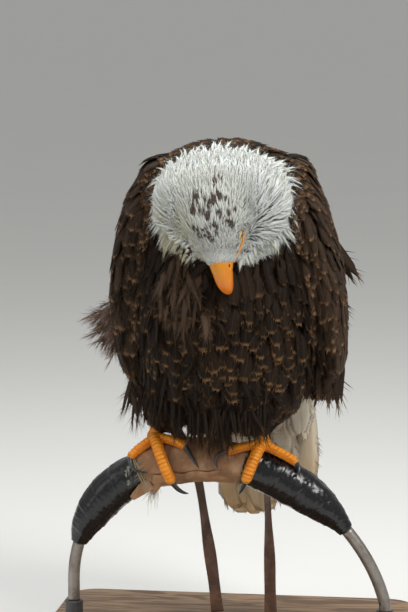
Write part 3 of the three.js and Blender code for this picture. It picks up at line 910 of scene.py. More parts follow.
class Form:
    """The whole bird's smooth outer form, melted together from its limbs."""

    melt = 0.006  # how softly limbs melt into each other, in metres
    share = 0.014  # how softly their lie and coat do
    carve_melt = 0.003
    body_step = 0.0055
    head_step = 0.0027
    head_reach = 0.075
    brow_radius = 0.0095
    socket_radius = 0.0110

    def __init__(self) -> None:
        """Builds the limbs, then a coarse box for the body and a fine one for the head."""
        self.limbs = limbs()
        self.names = [limb.name for limb in self.limbs]
        self.body = Lattice(self, np.array([-0.20, -0.25, 0.19]), np.array([0.22, 0.24, 0.76]),
                            self.body_step)
        centre = head_axes()[0]
        self.head = Lattice(self, centre - self.head_reach, centre + self.head_reach,
                            self.head_step)

    def heights(self, points: Array) -> tuple[Array, Array]:
        """Height over each limb, and each limb's run, with far limbs set to a large height."""
        count = len(points)
        height = np.full((len(self.limbs), count), 0.2)
        run = np.zeros((len(self.limbs), count, 3))
        for k, limb in enumerate(self.limbs):
            rows = np.asarray(limb.rows)
            reach = rows[:, 3:].max() + 60
            low = (rows[:, :3].min(0) - reach) * MM + [0, 0, PERCH_LEVEL * MM]
            high = (rows[:, :3].max(0) + reach) * MM + [0, 0, PERCH_LEVEL * MM]
            near = np.nonzero(np.all((points > low) & (points < high), 1))[0]
            for part in np.array_split(near, max(1, len(near) // 60000)):
                height[k, part], run[k, part] = limb.height(points[part])
        return height, run

    def work(self, points: Array) -> tuple[Array, Array, Array]:
        """The form at points: smooth least height, blended lie and coat depth.

        The least height is -m log(sum exp(-height / m)); lie and depth are means weighted by
        exp(-height / share).

        Args:
            points: rows of x, y, z.

        Returns:
            Heights, unit lies and coat depths.
        """
        height, run = self.heights(points)
        least = height.min(0)
        total = least - self.melt * np.log(np.exp((least - height) / self.melt).sum(0))
        weight = np.exp((least - height) / self.share)
        weight = weight / weight.sum(0)
        lie = np.einsum("kn,kni->ni", weight, run)
        head, neck = self.names.index("head"), self.names.index("neck")
        for k in (head, neck):
            lie = lie - 2 * weight[k][:, None] * run[k]
        coat = np.einsum("kn,k->n", weight, np.array([limb.coat for limb in self.limbs])) * MM
        total = self.carve(points, total)
        along_bill = (points - head_axes()[0]) @ head_axes()[1] / MM
        close = smooth(along_bill, 26.0, 42.0) * (height[head] < 0.03)
        thin = 0.72 * np.maximum(close, 1 - smooth(from_eyes(points), 15.0, 25.0))
        coat = np.minimum(coat, 0.0045 + 0.9 * np.maximum(height[head], 0))
        return total, unit(lie), coat * (1 - thin)

    def carve(self, points: Array, height: Array) -> Array:
        """Raises the brow ridges and sinks the eye sockets of the head."""
        soft = self.carve_melt
        for s, _ in SIDES:
            start, end = on_head((-12, 32.5 * s, 16)), on_head((25, 29.5 * s, 13.5))
            step = end - start
            t = np.clip((points - start) @ step / (step @ step), 0, 1)
            away = np.linalg.norm(points - start - t[:, None] * step, axis=1)
            ridge = away - self.brow_radius + 0.003 * t
            height = -soft * np.logaddexp(-height / soft, -ridge / soft)
            middle = on_head((14.5, 36 * s, 1.5))
            socket = self.socket_radius - np.linalg.norm(points - middle, axis=1)
            height = soft * np.logaddexp(height / soft, socket / soft)
        return height

    def read(self, points: Array) -> tuple[Array, Array, Array, Array]:
        """Height, outward direction, lie along the surface, and coat depth at points."""
        flat = points.reshape(-1, 3)
        value = self.body.read(flat)
        near = self.head.covers(flat)
        if near.any():
            value[near] = self.head.read(flat[near])
        out = unit(value[:, 1:4])
        lie = value[:, 4:7]
        lie = unit(lie - dot(lie, out) * out)
        shape = points.shape
        return (value[:, 0].reshape(shape[:-1]), out.reshape(shape), lie.reshape(shape),
                value[:, 7].reshape(shape[:-1]))

    def settle(self, points: Array, level: Array, rounds: int = 3) -> Array:
        """Moves points along the slope until they are at a height over the form."""
        for _ in range(rounds):
            height, out, _, _ = self.read(points)
            points = points - out * (height - level)[..., None]
        return points

    def limb(self, name: str) -> Limb:
        """The limb of that name."""
        return self.limbs[self.names.index(name)]

    def over(self, points: Array, name: str) -> Array:
        """Heights over the limb of that name, in mm."""
        return self.heights(points)[0][self.names.index(name)] / MM


# ---------------------------------------------------------------- feathers


PLAIN_SECTION = 0.1  # vanes thicker than this share of their half-width get four-sided sections


@dataclass(frozen=True)
class Vane:
    """One kind of feather: its outline, section and edge.

    Attributes:
        places: stations along it, from 0 to 1.
        outline: half-width at each, as a share of the widest.
        camber: how far its edges drop, as a share of the half-width.
        thick: its thickness over its half-width.
        barbs: loose barbs along its rim.
        barb: their length as a share of the feather's.
        ragged: how uneven its rim is.
        reach: place along it where its loose barbs begin.
    """

    places: tuple
    outline: tuple
    camber: float = 0.28
    thick: float = 0.06
    barbs: int = 0
    barb: float = 0.10
    ragged: float = 0.08
    reach: float = 0.45


ROUND = Vane((0, 0.22, 0.42, 0.58, 0.72, 0.83, 0.91, 0.965, 1.0),
             (0.22, 0.62, 0.90, 1.0, 0.98, 0.86, 0.66, 0.42, 0.10), camber=0.2, thick=0.04,
             barbs=30, barb=0.11, ragged=0.07)
LANCE = Vane((0, 0.35, 0.62, 0.83, 1.0), (0.5, 1.0, 0.95, 0.55, 0.02),
             camber=0.04, thick=0.101, barbs=7, barb=0.20, ragged=0.16, reach=0.35)
SPIKE = Vane((0, 0.25, 0.5, 0.72, 0.88, 1.0), (0.4, 0.9, 1.0, 0.70, 0.34, 0.01),
             camber=0.08, thick=0.06, barbs=14, barb=0.20, ragged=0.14, reach=0.4)
BLADE = Vane((0, 0.2, 0.42, 0.62, 0.78, 0.89, 0.96, 1.0),
             (0.35, 0.75, 0.95, 1.0, 0.90, 0.66, 0.36, 0.04), camber=0.22, thick=0.045,
             barbs=22, barb=0.08)
QUILL = Vane((0, 0.1, 0.25, 0.4, 0.55, 0.7, 0.8, 0.88, 0.94, 0.98, 1.0),
             (0.25, 0.7, 0.95, 1.0, 1.0, 0.96, 0.86, 0.68, 0.44, 0.20, 0.03), camber=0.2,
             thick=0.045, barbs=18, barb=0.025, ragged=0.02, reach=0.2)
SQUARE = Vane((0, 0.12, 0.3, 0.5, 0.7, 0.84, 0.93, 0.98, 1.0),
              (0.3, 0.62, 0.82, 0.95, 1.0, 1.0, 0.90, 0.66, 0.28), camber=0.10,
              thick=0.03, barbs=90, barb=0.045, ragged=0.12, reach=0.55)
DOWN = Vane((0, 0.3, 0.6, 0.85, 1.0), (0.5, 1.0, 0.8, 0.4, 0.02), camber=0.05, thick=0.06,
            barbs=28, barb=0.30, ragged=0.25, reach=0.15)
TUFT = Vane((0, 0.3, 0.6, 0.85, 1.0), (0.05, 0.08, 0.06, 0.04, 0.01), camber=0.0,
            thick=0.05, barbs=40, barb=0.34, ragged=0.2, reach=0.1)


@dataclass
class Lay:
    """Where a crowd of feathers lies, and each one's own numbers.

    Attributes:
        roots: points on the form's outside over each root.
        length: length of each, in metres.
        half: half-width of each, in metres.
        low: depth of each root under the outside.
        high: height of each tip over it.
        swing: angle of each from the lie.
        patch: each root's place on the skin's unwrap.
        shade: how light each is, from 0 to 1.
        tip: strength of its pale rim; on white feathers, strength of the painted greenish-yellow
            tint.
        mark: strength of its dark fleck.
    """

    roots: Array
    length: Array
    half: Array
    low: Array
    high: Array
    swing: Array
    patch: Array
    shade: Array
    tip: Array
    mark: Array

    def clump(self, size: float, seed: int, swing: float = 0.0, length: float = 0.0,
              high: float = 0.0) -> None:
        """Draws neighbours together or apart, by soft noise over their roots.

        Args:
            size: rough width of a clump, in mm.
            seed: which noise.
            swing: most that it turns them, in degrees.
            length: most that it lengthens them, as a share.
            high: most that it lifts their tips, in mm.
        """
        at = self.roots / MM
        self.swing = self.swing + np.radians(swing) * lumps(at, size, seed)
        self.length = self.length * (1 + length * lumps(at, size, seed + 1))
        self.high = self.high + high * MM * lumps(at, size, seed + 2)

    @classmethod
    def free(cls, roots: Array, length: Array, half: Array, patch: Array, shade: Array,
             tip: Array, mark: Optional[Array] = None) -> "Lay":
        """A crowd that hangs free, with no depth under the form and no height over it."""
        none = np.zeros(len(roots))
        return cls(roots, length, half, none, none, none, patch, shade, tip,
                   none if mark is None else mark)

    def keep(self, mask: Array) -> "Lay":
        """The same crowd with only the feathers that the mask names."""
        return Lay(*[getattr(self, key)[mask] for key in self.__dataclass_fields__])


class Coat:
    """Lays feathers on the form and turns them into mesh."""

    def __init__(self, form: Form) -> None:
        """Keeps the form that the feathers lie on."""
        self.form = form

    def rows(self, limb: Limb, row: float, column: float, span: tuple,
             rng: np.random.Generator, stray: float,
             puff: float = 0.0) -> tuple[Array, Array, Array]:
        """Staggered rows of roots on a limb.

        Args:
            limb: what they grow on.
            row: spacing along it, in mm.
            column: spacing around it, in mm.
            span: the first and last place along it, from -1 to 2.
            rng: where chance comes from.
            stray: how far roots stray, as a share of the spacing.
            puff: how far outside the limb they start before they settle, in metres.

        Returns:
            Points, places along the limb, and angles around it.
        """
        fine = np.linspace(span[0], span[1], 160)
        lines = [limb.surface(fine, np.full(160, a))[0] for a in (0.3, 1.9, 3.4, 5.0)]
        step = np.mean([np.linalg.norm(np.diff(line, axis=0), axis=1) for line in lines], 0)
        reach = np.concatenate([[0], np.cumsum(step)])
        count = max(1, int(reach[-1] / (row * MM)))
        places = np.interp((np.arange(count) + 0.5) / count * reach[-1], reach, fine)
        circle = np.linspace(0, TURN, 49)
        every_t, every_angle = [], []
        for k, place in enumerate(places):
            run = run_along(limb.surface(np.full(49, place), circle)[0])
            number = max(1, int(round(run[-1] / (column * MM))))
            spot = (np.arange(number) + 0.25 + 0.5 * (k % 2)
                    + rng.uniform(-stray, stray, number)) / number * run[-1]
            every_angle.append(np.interp(spot, run, circle))
            every_t.append(np.full(number, place)
                           + rng.uniform(-stray, stray, number) * (span[1] - span[0]) / count)
        t, angle = np.concatenate(every_t), np.concatenate(every_angle)
        points = limb.surface(t, angle, puff)[0]
        points = self.form.settle(points, np.zeros(len(points)), 5)
        return points, t, angle

    def owned(self, points: Array, name: str, slack: float = 4.0) -> Array:
        """Whether each point of the form's outside belongs to a limb, within a slack in mm."""
        height, _ = self.form.heights(points)
        mine = height[self.form.names.index(name)]
        return mine < height.min(0) + slack * MM

    def sown(self, name: str, row: float, column: float, span: tuple,
             rng: np.random.Generator, stray: float, slack: float,
             puff: float = 0.0) -> tuple[Array, Array, Array]:
        """Staggered rows of roots on a limb, less those that another limb covers.

        Args:
            name: the limb's name.
            row: spacing along it, in mm.
            column: spacing around it, in mm.
            span: the first and last place along it, from -1 to 2.
            rng: where chance comes from.
            stray: how far roots stray, as a share of the spacing.
            slack: how far another limb may stand over them, in mm.
            puff: how far outside the limb they start before they settle, in metres.

        Returns:
            Points, places along the limb, and angles around it.
        """
        sown = self.rows(self.form.limb(name), row, column, span, rng, stray, puff)
        return kept(self.owned(sown[0], name, slack), *sown)

    def spread(self, points: Array, t: Array, angle: Array, rng: np.random.Generator, *,
               length: Callable[[Array], Array], half: Callable[[Array], Array],
               low: float, high: float, swing: float = 8.0, shade: tuple = (0.0, 1.0),
               tip: tuple = (0.3, 1.0), cell: tuple = (0.0, 0.0, 1.0, 1.0)) -> Lay:
        """Gives each root its own numbers.

        Args:
            points: roots on the form's outside.
            t: places along the limb, -1 to 2.
            angle: angles around it.
            rng: where chance comes from.
            length: length in mm as a function of t.
            half: half-width in mm as a function of t.
            low: depth of the roots, as a share of the coat's depth.
            high: height of the tips in mm.
            swing: how far they stray from the lie, in degrees.
            shade: least and most shade.
            tip: least and most strength of the pale rim.
            cell: the unwrap's cell for this limb: left, bottom, width and height.

        Returns:
            The crowd.
        """
        n = len(points)
        unwrap = np.stack([cell[0] + cell[2] * (angle / TURN % 1.0),
                           cell[1] + cell[3] * (t + 1) / 3], -1)
        _, _, _, coat = self.form.read(points)
        return Lay(points, length(t) * MM * rng.uniform(0.88, 1.12, n),
                   half(t) * MM * rng.uniform(0.88, 1.1, n),
                   coat * low * rng.uniform(0.85, 1.05, n),
                   high * MM + rng.normal(0, 0.5, n) * MM,
                   np.radians(rng.normal(0, swing, n)), unwrap * 0.994 + 0.0015,
                   rng.uniform(*shade, n), rng.uniform(*tip, n), np.zeros(n))

    def spines(self, lay: Lay, vane: Vane, follow: float, cling: float, rise: float,
               curl: Array, lean: Optional[Array] = None) -> tuple[Array, Array]:
        """Walks every feather from its root along the lie of the form.

        Args:
            lay: the crowd.
            vane: the kind of feather.
            follow: how much each step turns to the lie, from 0 to 1.
            cling: how much a feather is drawn back to its level where it stands off it.
            rise: place along it where it has come up through the coat.
            curl: height added at each tip by a square law, in metres.
            lean: a fixed direction that replaces the lie, or None.

        Returns:
            Points and outward directions, one row for each feather.
        """
        places = np.asarray(vane.places)
        point = lay.roots.copy()
        _, out, lie, _ = self.form.read(point)
        if lean is not None:
            lie = unit(lean - dot(lean, out) * out)
        way = turned(lie, out, lay.swing)
        spine = np.empty((len(point), len(places), 3))
        normal = np.empty_like(spine)
        for j, place in enumerate(places):
            up = smooth(np.array(place), 0.0, rise) * 0.6 + 0.4 * place
            level = -lay.low + (lay.low + lay.high) * up + curl * place**2
            height, out, lie, _ = self.form.read(point)
            off = height - level
            if j:
                off = np.where(off > 0, off * cling, off)
            point = point - out * off[:, None]
            spine[:, j], normal[:, j] = point, out
            if lean is not None:
                lie = unit(lean - dot(lean, out) * out)
            aim = turned(lie, out, lay.swing)
            way = unit(way * (1 - follow) + aim * follow)
            hold = np.clip(cling, 0, 1)
            way = unit(way - dot(way, out) * out * hold)
            if j + 1 < len(places):
                point = point + way * (lay.length * (places[j + 1] - place))[:, None]
        return spine, normal

    def mesh(self, shell: Shell, lay: Lay, vane: Vane, rng: np.random.Generator, *,
             follow: float = 0.6, cling: float = 1.0, rise: float = 0.4,
             curl: float | Array = 0.0, lean: Optional[Array] = None,
             roll: float = 0.12, laid: Optional[tuple[Array, Array]] = None) -> None:
        """Adds a crowd of feathers to a shell.

        A feather's point at (s, u) is spine(s) + across(s) w(s) u - out(s) w(s) camber u^2,
        for u from -1 to 1, closed underneath by its thickness.

        Args:
            shell: what they are added to.
            lay: the crowd.
            vane: the kind of feather.
            rng: where chance comes from.
            follow: how much each step turns to the lie.
            cling: how much a feather is drawn to its level.
            rise: place along it where it has come up through the coat.
            curl: height added at the tip, in metres.
            lean: a fixed direction in place of the lie.
            roll: how far feathers roll about their shafts, in radians.
            laid: spines and outward directions, where they are already known.
        """
        n, count = len(lay.roots), len(vane.places)
        if n == 0:
            return
        places = np.asarray(vane.places)
        curl = np.broadcast_to(np.asarray(curl, float), (n,))
        spine, normal = laid or self.spines(lay, vane, follow, cling, rise, curl, lean)
        tangent = unit(np.gradient(spine, axis=1))
        across = unit(np.cross(tangent, normal))
        twist = rng.normal(0, roll, n)[:, None].repeat(count, 1)
        across = turned(across, tangent, twist)
        out = np.cross(across, tangent)
        width = np.asarray(vane.outline) * lay.half[:, None]
        jag = rng.normal(1.0, vane.ragged, (n, count, 2))
        left, right = width * jag[..., 0], width * jag[..., 1]
        thick = lay.half[:, None] * vane.thick * np.sqrt(np.asarray(vane.outline) + 0.05)
        if vane.thick > PLAIN_SECTION:
            u = np.array([-1.0, 0.0, 1.0, 0.0])
            lift = np.array([0.0, 1.0, 0.0, -0.6])
        else:
            u = np.array([-1.0, -0.5, 0.0, 0.5, 1.0, 0.0])
            lift = np.array([0.0, 0.7, 1.0, 0.7, 0.0, -0.5])
        side = np.where(u < 0, left[..., None], right[..., None]) * u
        drop = -vane.camber * lay.half[:, None, None] * u**2 * np.asarray(
            vane.outline)[None, :, None] + thick[..., None] * lift
        points = (spine[:, :, None] + across[:, :, None] * side[..., None]
                  + out[:, :, None] * drop[..., None])
        m = len(u)
        j = np.arange(m)
        ring = (np.arange(count - 1)[:, None] * m + j[None, :])
        nxt = (np.arange(count - 1)[:, None] * m + (j[None, :] + 1) % m)
        quads = np.stack([ring, ring + m, nxt + m, nxt], -1).reshape(-1, 4)
        end = (count - 1) * m
        if m == 4:
            caps = np.array([[0, 1, 2, 3], [end + 3, end + 2, end + 1, end]])
        else:
            caps = np.array([[0, 1, 2, 5], [2, 3, 4, 5], [end + 5, end + 2, end + 1, end],
                             [end + 5, end + 4, end + 3, end + 2]])
        quads = np.concatenate([quads, caps])
        faces = quads[None] + (np.arange(n) * count * m)[:, None, None]
        vane_uv = np.stack(np.broadcast_arrays((u[None, None] + 1) / 2,
                                               places[None, :, None],
                                               np.zeros((n, 1, 1)))[:2], -1)
        self.put(shell, points, faces, None, vane_uv, lay, count * m)
        if vane.barbs:
            self.fringe(shell, lay, vane, rng, spine, across, out, tangent, width)

    def put(self, shell: Shell, points: Array, faces: Array, tris: Optional[Array],
            vane_uv: Array, lay: Lay, each: int) -> None:
        """Adds feathers' points with their maps: Vane, the unwrap patch and Lay."""
        n = len(lay.roots)
        flat = vane_uv.reshape(n, each, 2)
        patch = lay.patch[:, None] + (flat - 0.5) * 0.003
        tint = np.stack([lay.shade, lay.tip, lay.mark, np.ones(n)], -1)
        shell.add(points, faces, tris, Vane=flat, OFBake=patch,
                  Lay=np.repeat(tint[:, None], each, 1))

    def fringe(self, shell: Shell, lay: Lay, vane: Vane, rng: np.random.Generator,
               spine: Array, across: Array, out: Array, tangent: Array,
               width: Array) -> None:
        """Adds loose barbs, thin three-sided spikes, around the outer rim of each feather.

        Args:
            shell: what they are added to.
            lay: the crowd.
            vane: the kind of feather.
            rng: where chance comes from.
            spine: points along each shaft.
            across: directions across each feather.
            out: outward directions.
            tangent: directions along each shaft.
            width: half-width at each station.
        """
        n, count = spine.shape[:2]
        number = vane.barbs
        s = vane.reach + (0.985 - vane.reach) * (1 - rng.uniform(0, 1, (n, number)) ** 1.6)
        sign = np.where(np.arange(number) % 2, 1.0, -1.0)[None, :]
        place = np.interp(s, vane.places, np.arange(count))
        i = np.minimum(place.astype(int), count - 2)
        f = (place - i)[..., None]
        who = np.arange(n)[:, None]

        def pick(a: Array) -> Array:
            """The value of a line between its stations."""
            return a[who, i] * (1 - f) + a[who, i + 1] * f

        w = pick(width[..., None])
        side, up, ahead = pick(across), pick(out), unit(pick(tangent))
        inner = rng.uniform(0.80, 1.0, (n, number, 1))
        base = pick(spine) + side * w * sign[..., None] * inner - up * w * vane.camber * inner**2
        open_angle = np.radians(38) * (1 - smooth(s, 0.75, 1.0))[..., None]
        open_angle = open_angle + rng.normal(0, 0.16, (n, number, 1))
        way = unit(ahead * np.cos(open_angle) + side * sign[..., None] * np.sin(open_angle)
                   + up * rng.normal(0.0, 0.10, (n, number, 1)))
        length = (lay.length[:, None] * vane.barb * rng.uniform(0.5, 1.5, (n, number)))[..., None]
        flat = unit(np.cross(way, up))
        thick = np.minimum(0.05 * lay.half, 0.00055)[:, None, None] * rng.uniform(
            0.7, 1.3, (n, number, 1))
        corners = np.stack([base + flat * thick * 1.5 - way * length * 0.2,
                            base + up * thick * 0.9 - way * length * 0.2,
                            base - flat * thick * 1.5 - way * length * 0.2,
                            base + way * length], 2)
        tris = np.array([[0, 1, 3], [1, 2, 3], [2, 0, 3], [0, 2, 1]])
        tris = tris[None] + (np.arange(n * number) * 4)[:, None, None]
        uv = np.stack([np.broadcast_to((0.5 + 0.5 * sign * inner[..., 0])[..., None],
                                       (n, number, 4)),
                       np.broadcast_to(s[..., None], (n, number, 4))
                       + np.array([0, 0, 0, 0.04])], -1)
        self.put(shell, corners, np.zeros((0, 4), int), tris, np.clip(uv, 0, 1), lay,
                 number * 4)


# ---------------------------------------------------------------- skin


def flecks(points: Array) -> Array:
    """Strength of the dark flecks on the crown, from 0 to 1.

    Spots are drawn about a few middles in the head's own frame; each is an ellipse drawn out
    along the lie of the crown, and a point takes the strongest of them.

    Args:
        points: rows of x, y, z.

    Returns:
        One strength for each point.
    """
    rng = np.random.default_rng(6)
    middles = np.array([(-40, 3, 3.5, 4), (-38, 14, 3, 4), (-36, 23, 3, 3), (-46, -10, 3, 2),
                        (-25, -17, 3.5, 3), (-17, 20, 3, 3), (-16, 31, 2.5, 2),
                        (1, -7, 2.5, 2), (10, -2, 2.5, 2), (16, 1, 2, 2), (2, -16, 2.5, 2),
                        (0, 30, 2.5, 2), (0, 8, 3, 2), (-56, 16, 3, 2), (-12, 2, 6, 4),
                        (-30, -4, 5, 3), (-26, 10, 6, 2), (-36, -13, 4, 4), (-31, 4, 4, 3),
                        (-22, -9, 4, 3), (7, 6, 3, 3), (6, -11, 3, 2), (-6, 28, 3, 2),
                        (-44, 7, 4, 2)], float)
    which = np.repeat(np.arange(len(middles)), middles[:, 3].astype(int))
    spots = middles[which, :2] + rng.normal(size=(len(which), 2)) * middles[which, 2:3]
    size = rng.uniform(0.7, 1.5, len(which))
    h, l, c = in_head(points)
    far = (((h[:, None] - spots[:, 0]) / (3.6 * size)) ** 2
           + ((l[:, None] - spots[:, 1]) / (1.75 * size)) ** 2)
    return np.exp(-0.5 * far.min(1) ** 1.5) * smooth(c, 2.0, 10.0)


def remeshed(shell: Shell, voxel: float) -> tuple[Array, Array]:
    """Melts the closed patches of a shell into one surface of even small faces.

    Args:
        shell: the patches.
        voxel: size of the faces, in metres.

    Returns:
        Points, and four indices a face.
    """
    rough = placed("Rough", shell.mesh("Rough", weld=True))
    melt = rough.modifiers.new("Melt", "REMESH")
    melt.mode, melt.voxel_size = "VOXEL", voxel
    graph = bpy.context.evaluated_depsgraph_get()
    mesh = bpy.data.meshes.new_from_object(rough.evaluated_get(graph))
    co = np.empty(len(mesh.vertices) * 3)
    mesh.vertices.foreach_get("co", co)
    index = np.empty(len(mesh.loops), np.int32)
    mesh.loops.foreach_get("vertex_index", index)
    bpy.data.objects.remove(rough)
    bpy.data.meshes.remove(mesh)
    return co.reshape(-1, 3), index.reshape(-1, 4)


@dataclass
class Skin:
    """One closed skin over the whole bird, under the coat, with lids and scaled toes."""

    form: Form
    feet: "Feet"
    voxel: float = 0.0033
    toe_voxel: float = 0.00105
    finish: SkinFinish = field(default_factory=lambda: SkinFinish("Bare_skin", "foot_skin"))

    def build(self) -> bpy.types.Object:
        """Joins the fleshy limbs, remeshes them as one, and settles them under the coat.

        Returns:
            The skin's object.
        """
        shell = Shell()
        for limb in self.form.limbs:
            if not limb.flesh:
                continue
            t = np.concatenate([-np.array([0.97, 0.8, 0.55, 0.28]), np.linspace(0, 1, 15),
                                1 + np.array([0.28, 0.55, 0.8, 0.97])])
            angle = np.linspace(0, TURN, 41)
            ring = limb.surface(t[:, None].repeat(41, 1), angle[None].repeat(len(t), 0))[0]
            middle = ring[:, :-1].mean(1, keepdims=True)
            reach = np.linalg.norm(ring - middle, axis=-1, keepdims=True)
            ring = middle + (ring - middle) * np.maximum(1 - limb.coat * MM / reach, 0.35)
            ring = capped(ring, middle[0], middle[-1])
            shell.add(ring, grid_faces(len(ring), 41))
        stump = self.form.limb("tail")
        centre, _, side, _, _ = stump.at(np.linspace(-0.1, 0.30, 8))
        sweep(shell, centre, np.linspace([0.034, 0.024], [0.026, 0.010], 8), side[0], 24, 0.012)
        points, quads = remeshed(shell, self.voxel)
        height, _, _, coat = self.form.read(points)
        near = smooth(points[:, 1], 0.135, 0.10) * (height > -0.045)
        shift = self.form.settle(points, -coat, 4) - points
        reach = np.linalg.norm(shift, axis=1, keepdims=True)
        points = points + shift * np.minimum(1, 0.012 / np.maximum(reach, 1e-9)) * near[:, None]
        whole = Shell()
        whole.add(points, quads, Zone=self.zone(points, 0.0))
        toes, faces = remeshed(self.feet.flesh(), self.toe_voxel)
        whole.add(toes, faces, Zone=self.zone(toes, 1.0))
        for s, _ in SIDES:
            lid, faces = self.lids(s)
            whole.add(lid, faces, Zone=np.tile([0.55, 0.35, 0.0, 1.0], (len(lid), 1)))
        skin = whole.build("Skin", self.finish)
        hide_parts("head", "neck", "trunk", "wing_left", "wing_right", "leg_left",
                    "leg_right", "foot_left", "foot_right")
        return skin

    def lids(self, s: int) -> tuple[Array, Array]:
        """Both lids of one eye as one closed ring over the globe, with a rolled rim.

        A point is the eye's centre plus its radius along a direction that leans from the gaze
        by an angle; the opening's angle is widest fore and aft and cut off by the upper lid.

        Args:
            s: 1 for the left eye, -1 for the right.

        Returns:
            Points and faces.
        """
        centre, gaze, fore, up = eye_axes(s)
        turn = np.linspace(0, TURN, 49)[:-1]
        rise = np.sin(turn)
        open_angle = np.radians(47 - 17 * np.clip(rise, 0, 1) ** 1.5 - 4 * np.clip(-rise, 0, 1)
                                + 5 * np.clip(np.cos(turn), 0, 1) ** 4)
        lean = np.array([1.75, 1.35, 1.05, 0.80, 0.55, 0.28, 0.10, 0.0, 0.02, 0.12, 0.4, 1.0])
        radius = np.array([11.4, 11.9, 12.6, 12.5, 12.9, 13.3, 13.3, 12.7, 12.0, 11.7, 11.5,
                           11.0]) * MM
        angle = open_angle[None] + lean[:, None] * 0.9 * np.radians(50)
        around = fore * np.cos(turn)[:, None] + up * np.sin(turn)[:, None]
        points = centre + radius[:, None, None] * (
            gaze * np.cos(angle)[..., None] + around[None] * np.sin(angle)[..., None])
        i = np.arange(points[..., 0].size).reshape(points.shape[:2])
        j = np.roll(i, -1, 1)
        quads = np.stack([i, j, np.roll(j, -1, 0), np.roll(i, -1, 0)], -1).reshape(-1, 4)
        if s < 0:
            quads = quads[:, ::-1]
        return points.reshape(-1, 3), quads

    def zone(self, points: Array, foot: float) -> Array:
        """Tints of the skin: white of the head, orange of the feet, and flecks."""
        height, _ = self.form.heights(points)
        white = height[self.form.names.index("head")]
        white = np.minimum(white, height[self.form.names.index("neck")])
        brown = height[self.form.names.index("trunk")]
        zone = np.zeros((len(points), 4))
        zone[:, 0] = smooth(brown - white, -0.012, 0.004)
        zone[:, 1] = foot
        zone[:, 2] = flecks(points)
        zone[:, 3] = 1
        return zone


def eye_axes(s: int) -> tuple[Array, Array, Array, Array]:
    """The centre of an eye and its gaze, forward and upward directions; s is 1 for the left."""
    _, bill, left, crown = head_axes()
    centre = on_head((14.0, 23.8 * s, 3.8))
    gaze = unit(0.42 * bill + 0.90 * s * left - 0.02 * crown)
    up = unit(crown - np.dot(crown, gaze) * gaze)
    return centre, gaze, unit(bill - np.dot(bill, gaze) * gaze - np.dot(bill, up) * up), up


def from_eyes(points: Array) -> Array:
    """Distance from points to the nearer eye's centre, in mm."""
    return np.minimum(*(np.linalg.norm(points - eye_axes(s)[0], axis=1) for s, _ in SIDES)) / MM


def gape_line(s: int, count: int) -> Array:
    """Points of the mouth's fleshy line, from the bill back to under the eye."""
    return on_head(along(((52, 14.5 * s, -10.5), (44, 18.0 * s, -11), (35, 23.5 * s, -10.5),
                          (27, 28.5 * s, -10), (20, 33 * s, -9.5), (14, 37 * s, -9.5)),
                         np.linspace(0, 1, count)))


# ---------------------------------------------------------------- bill and eyes


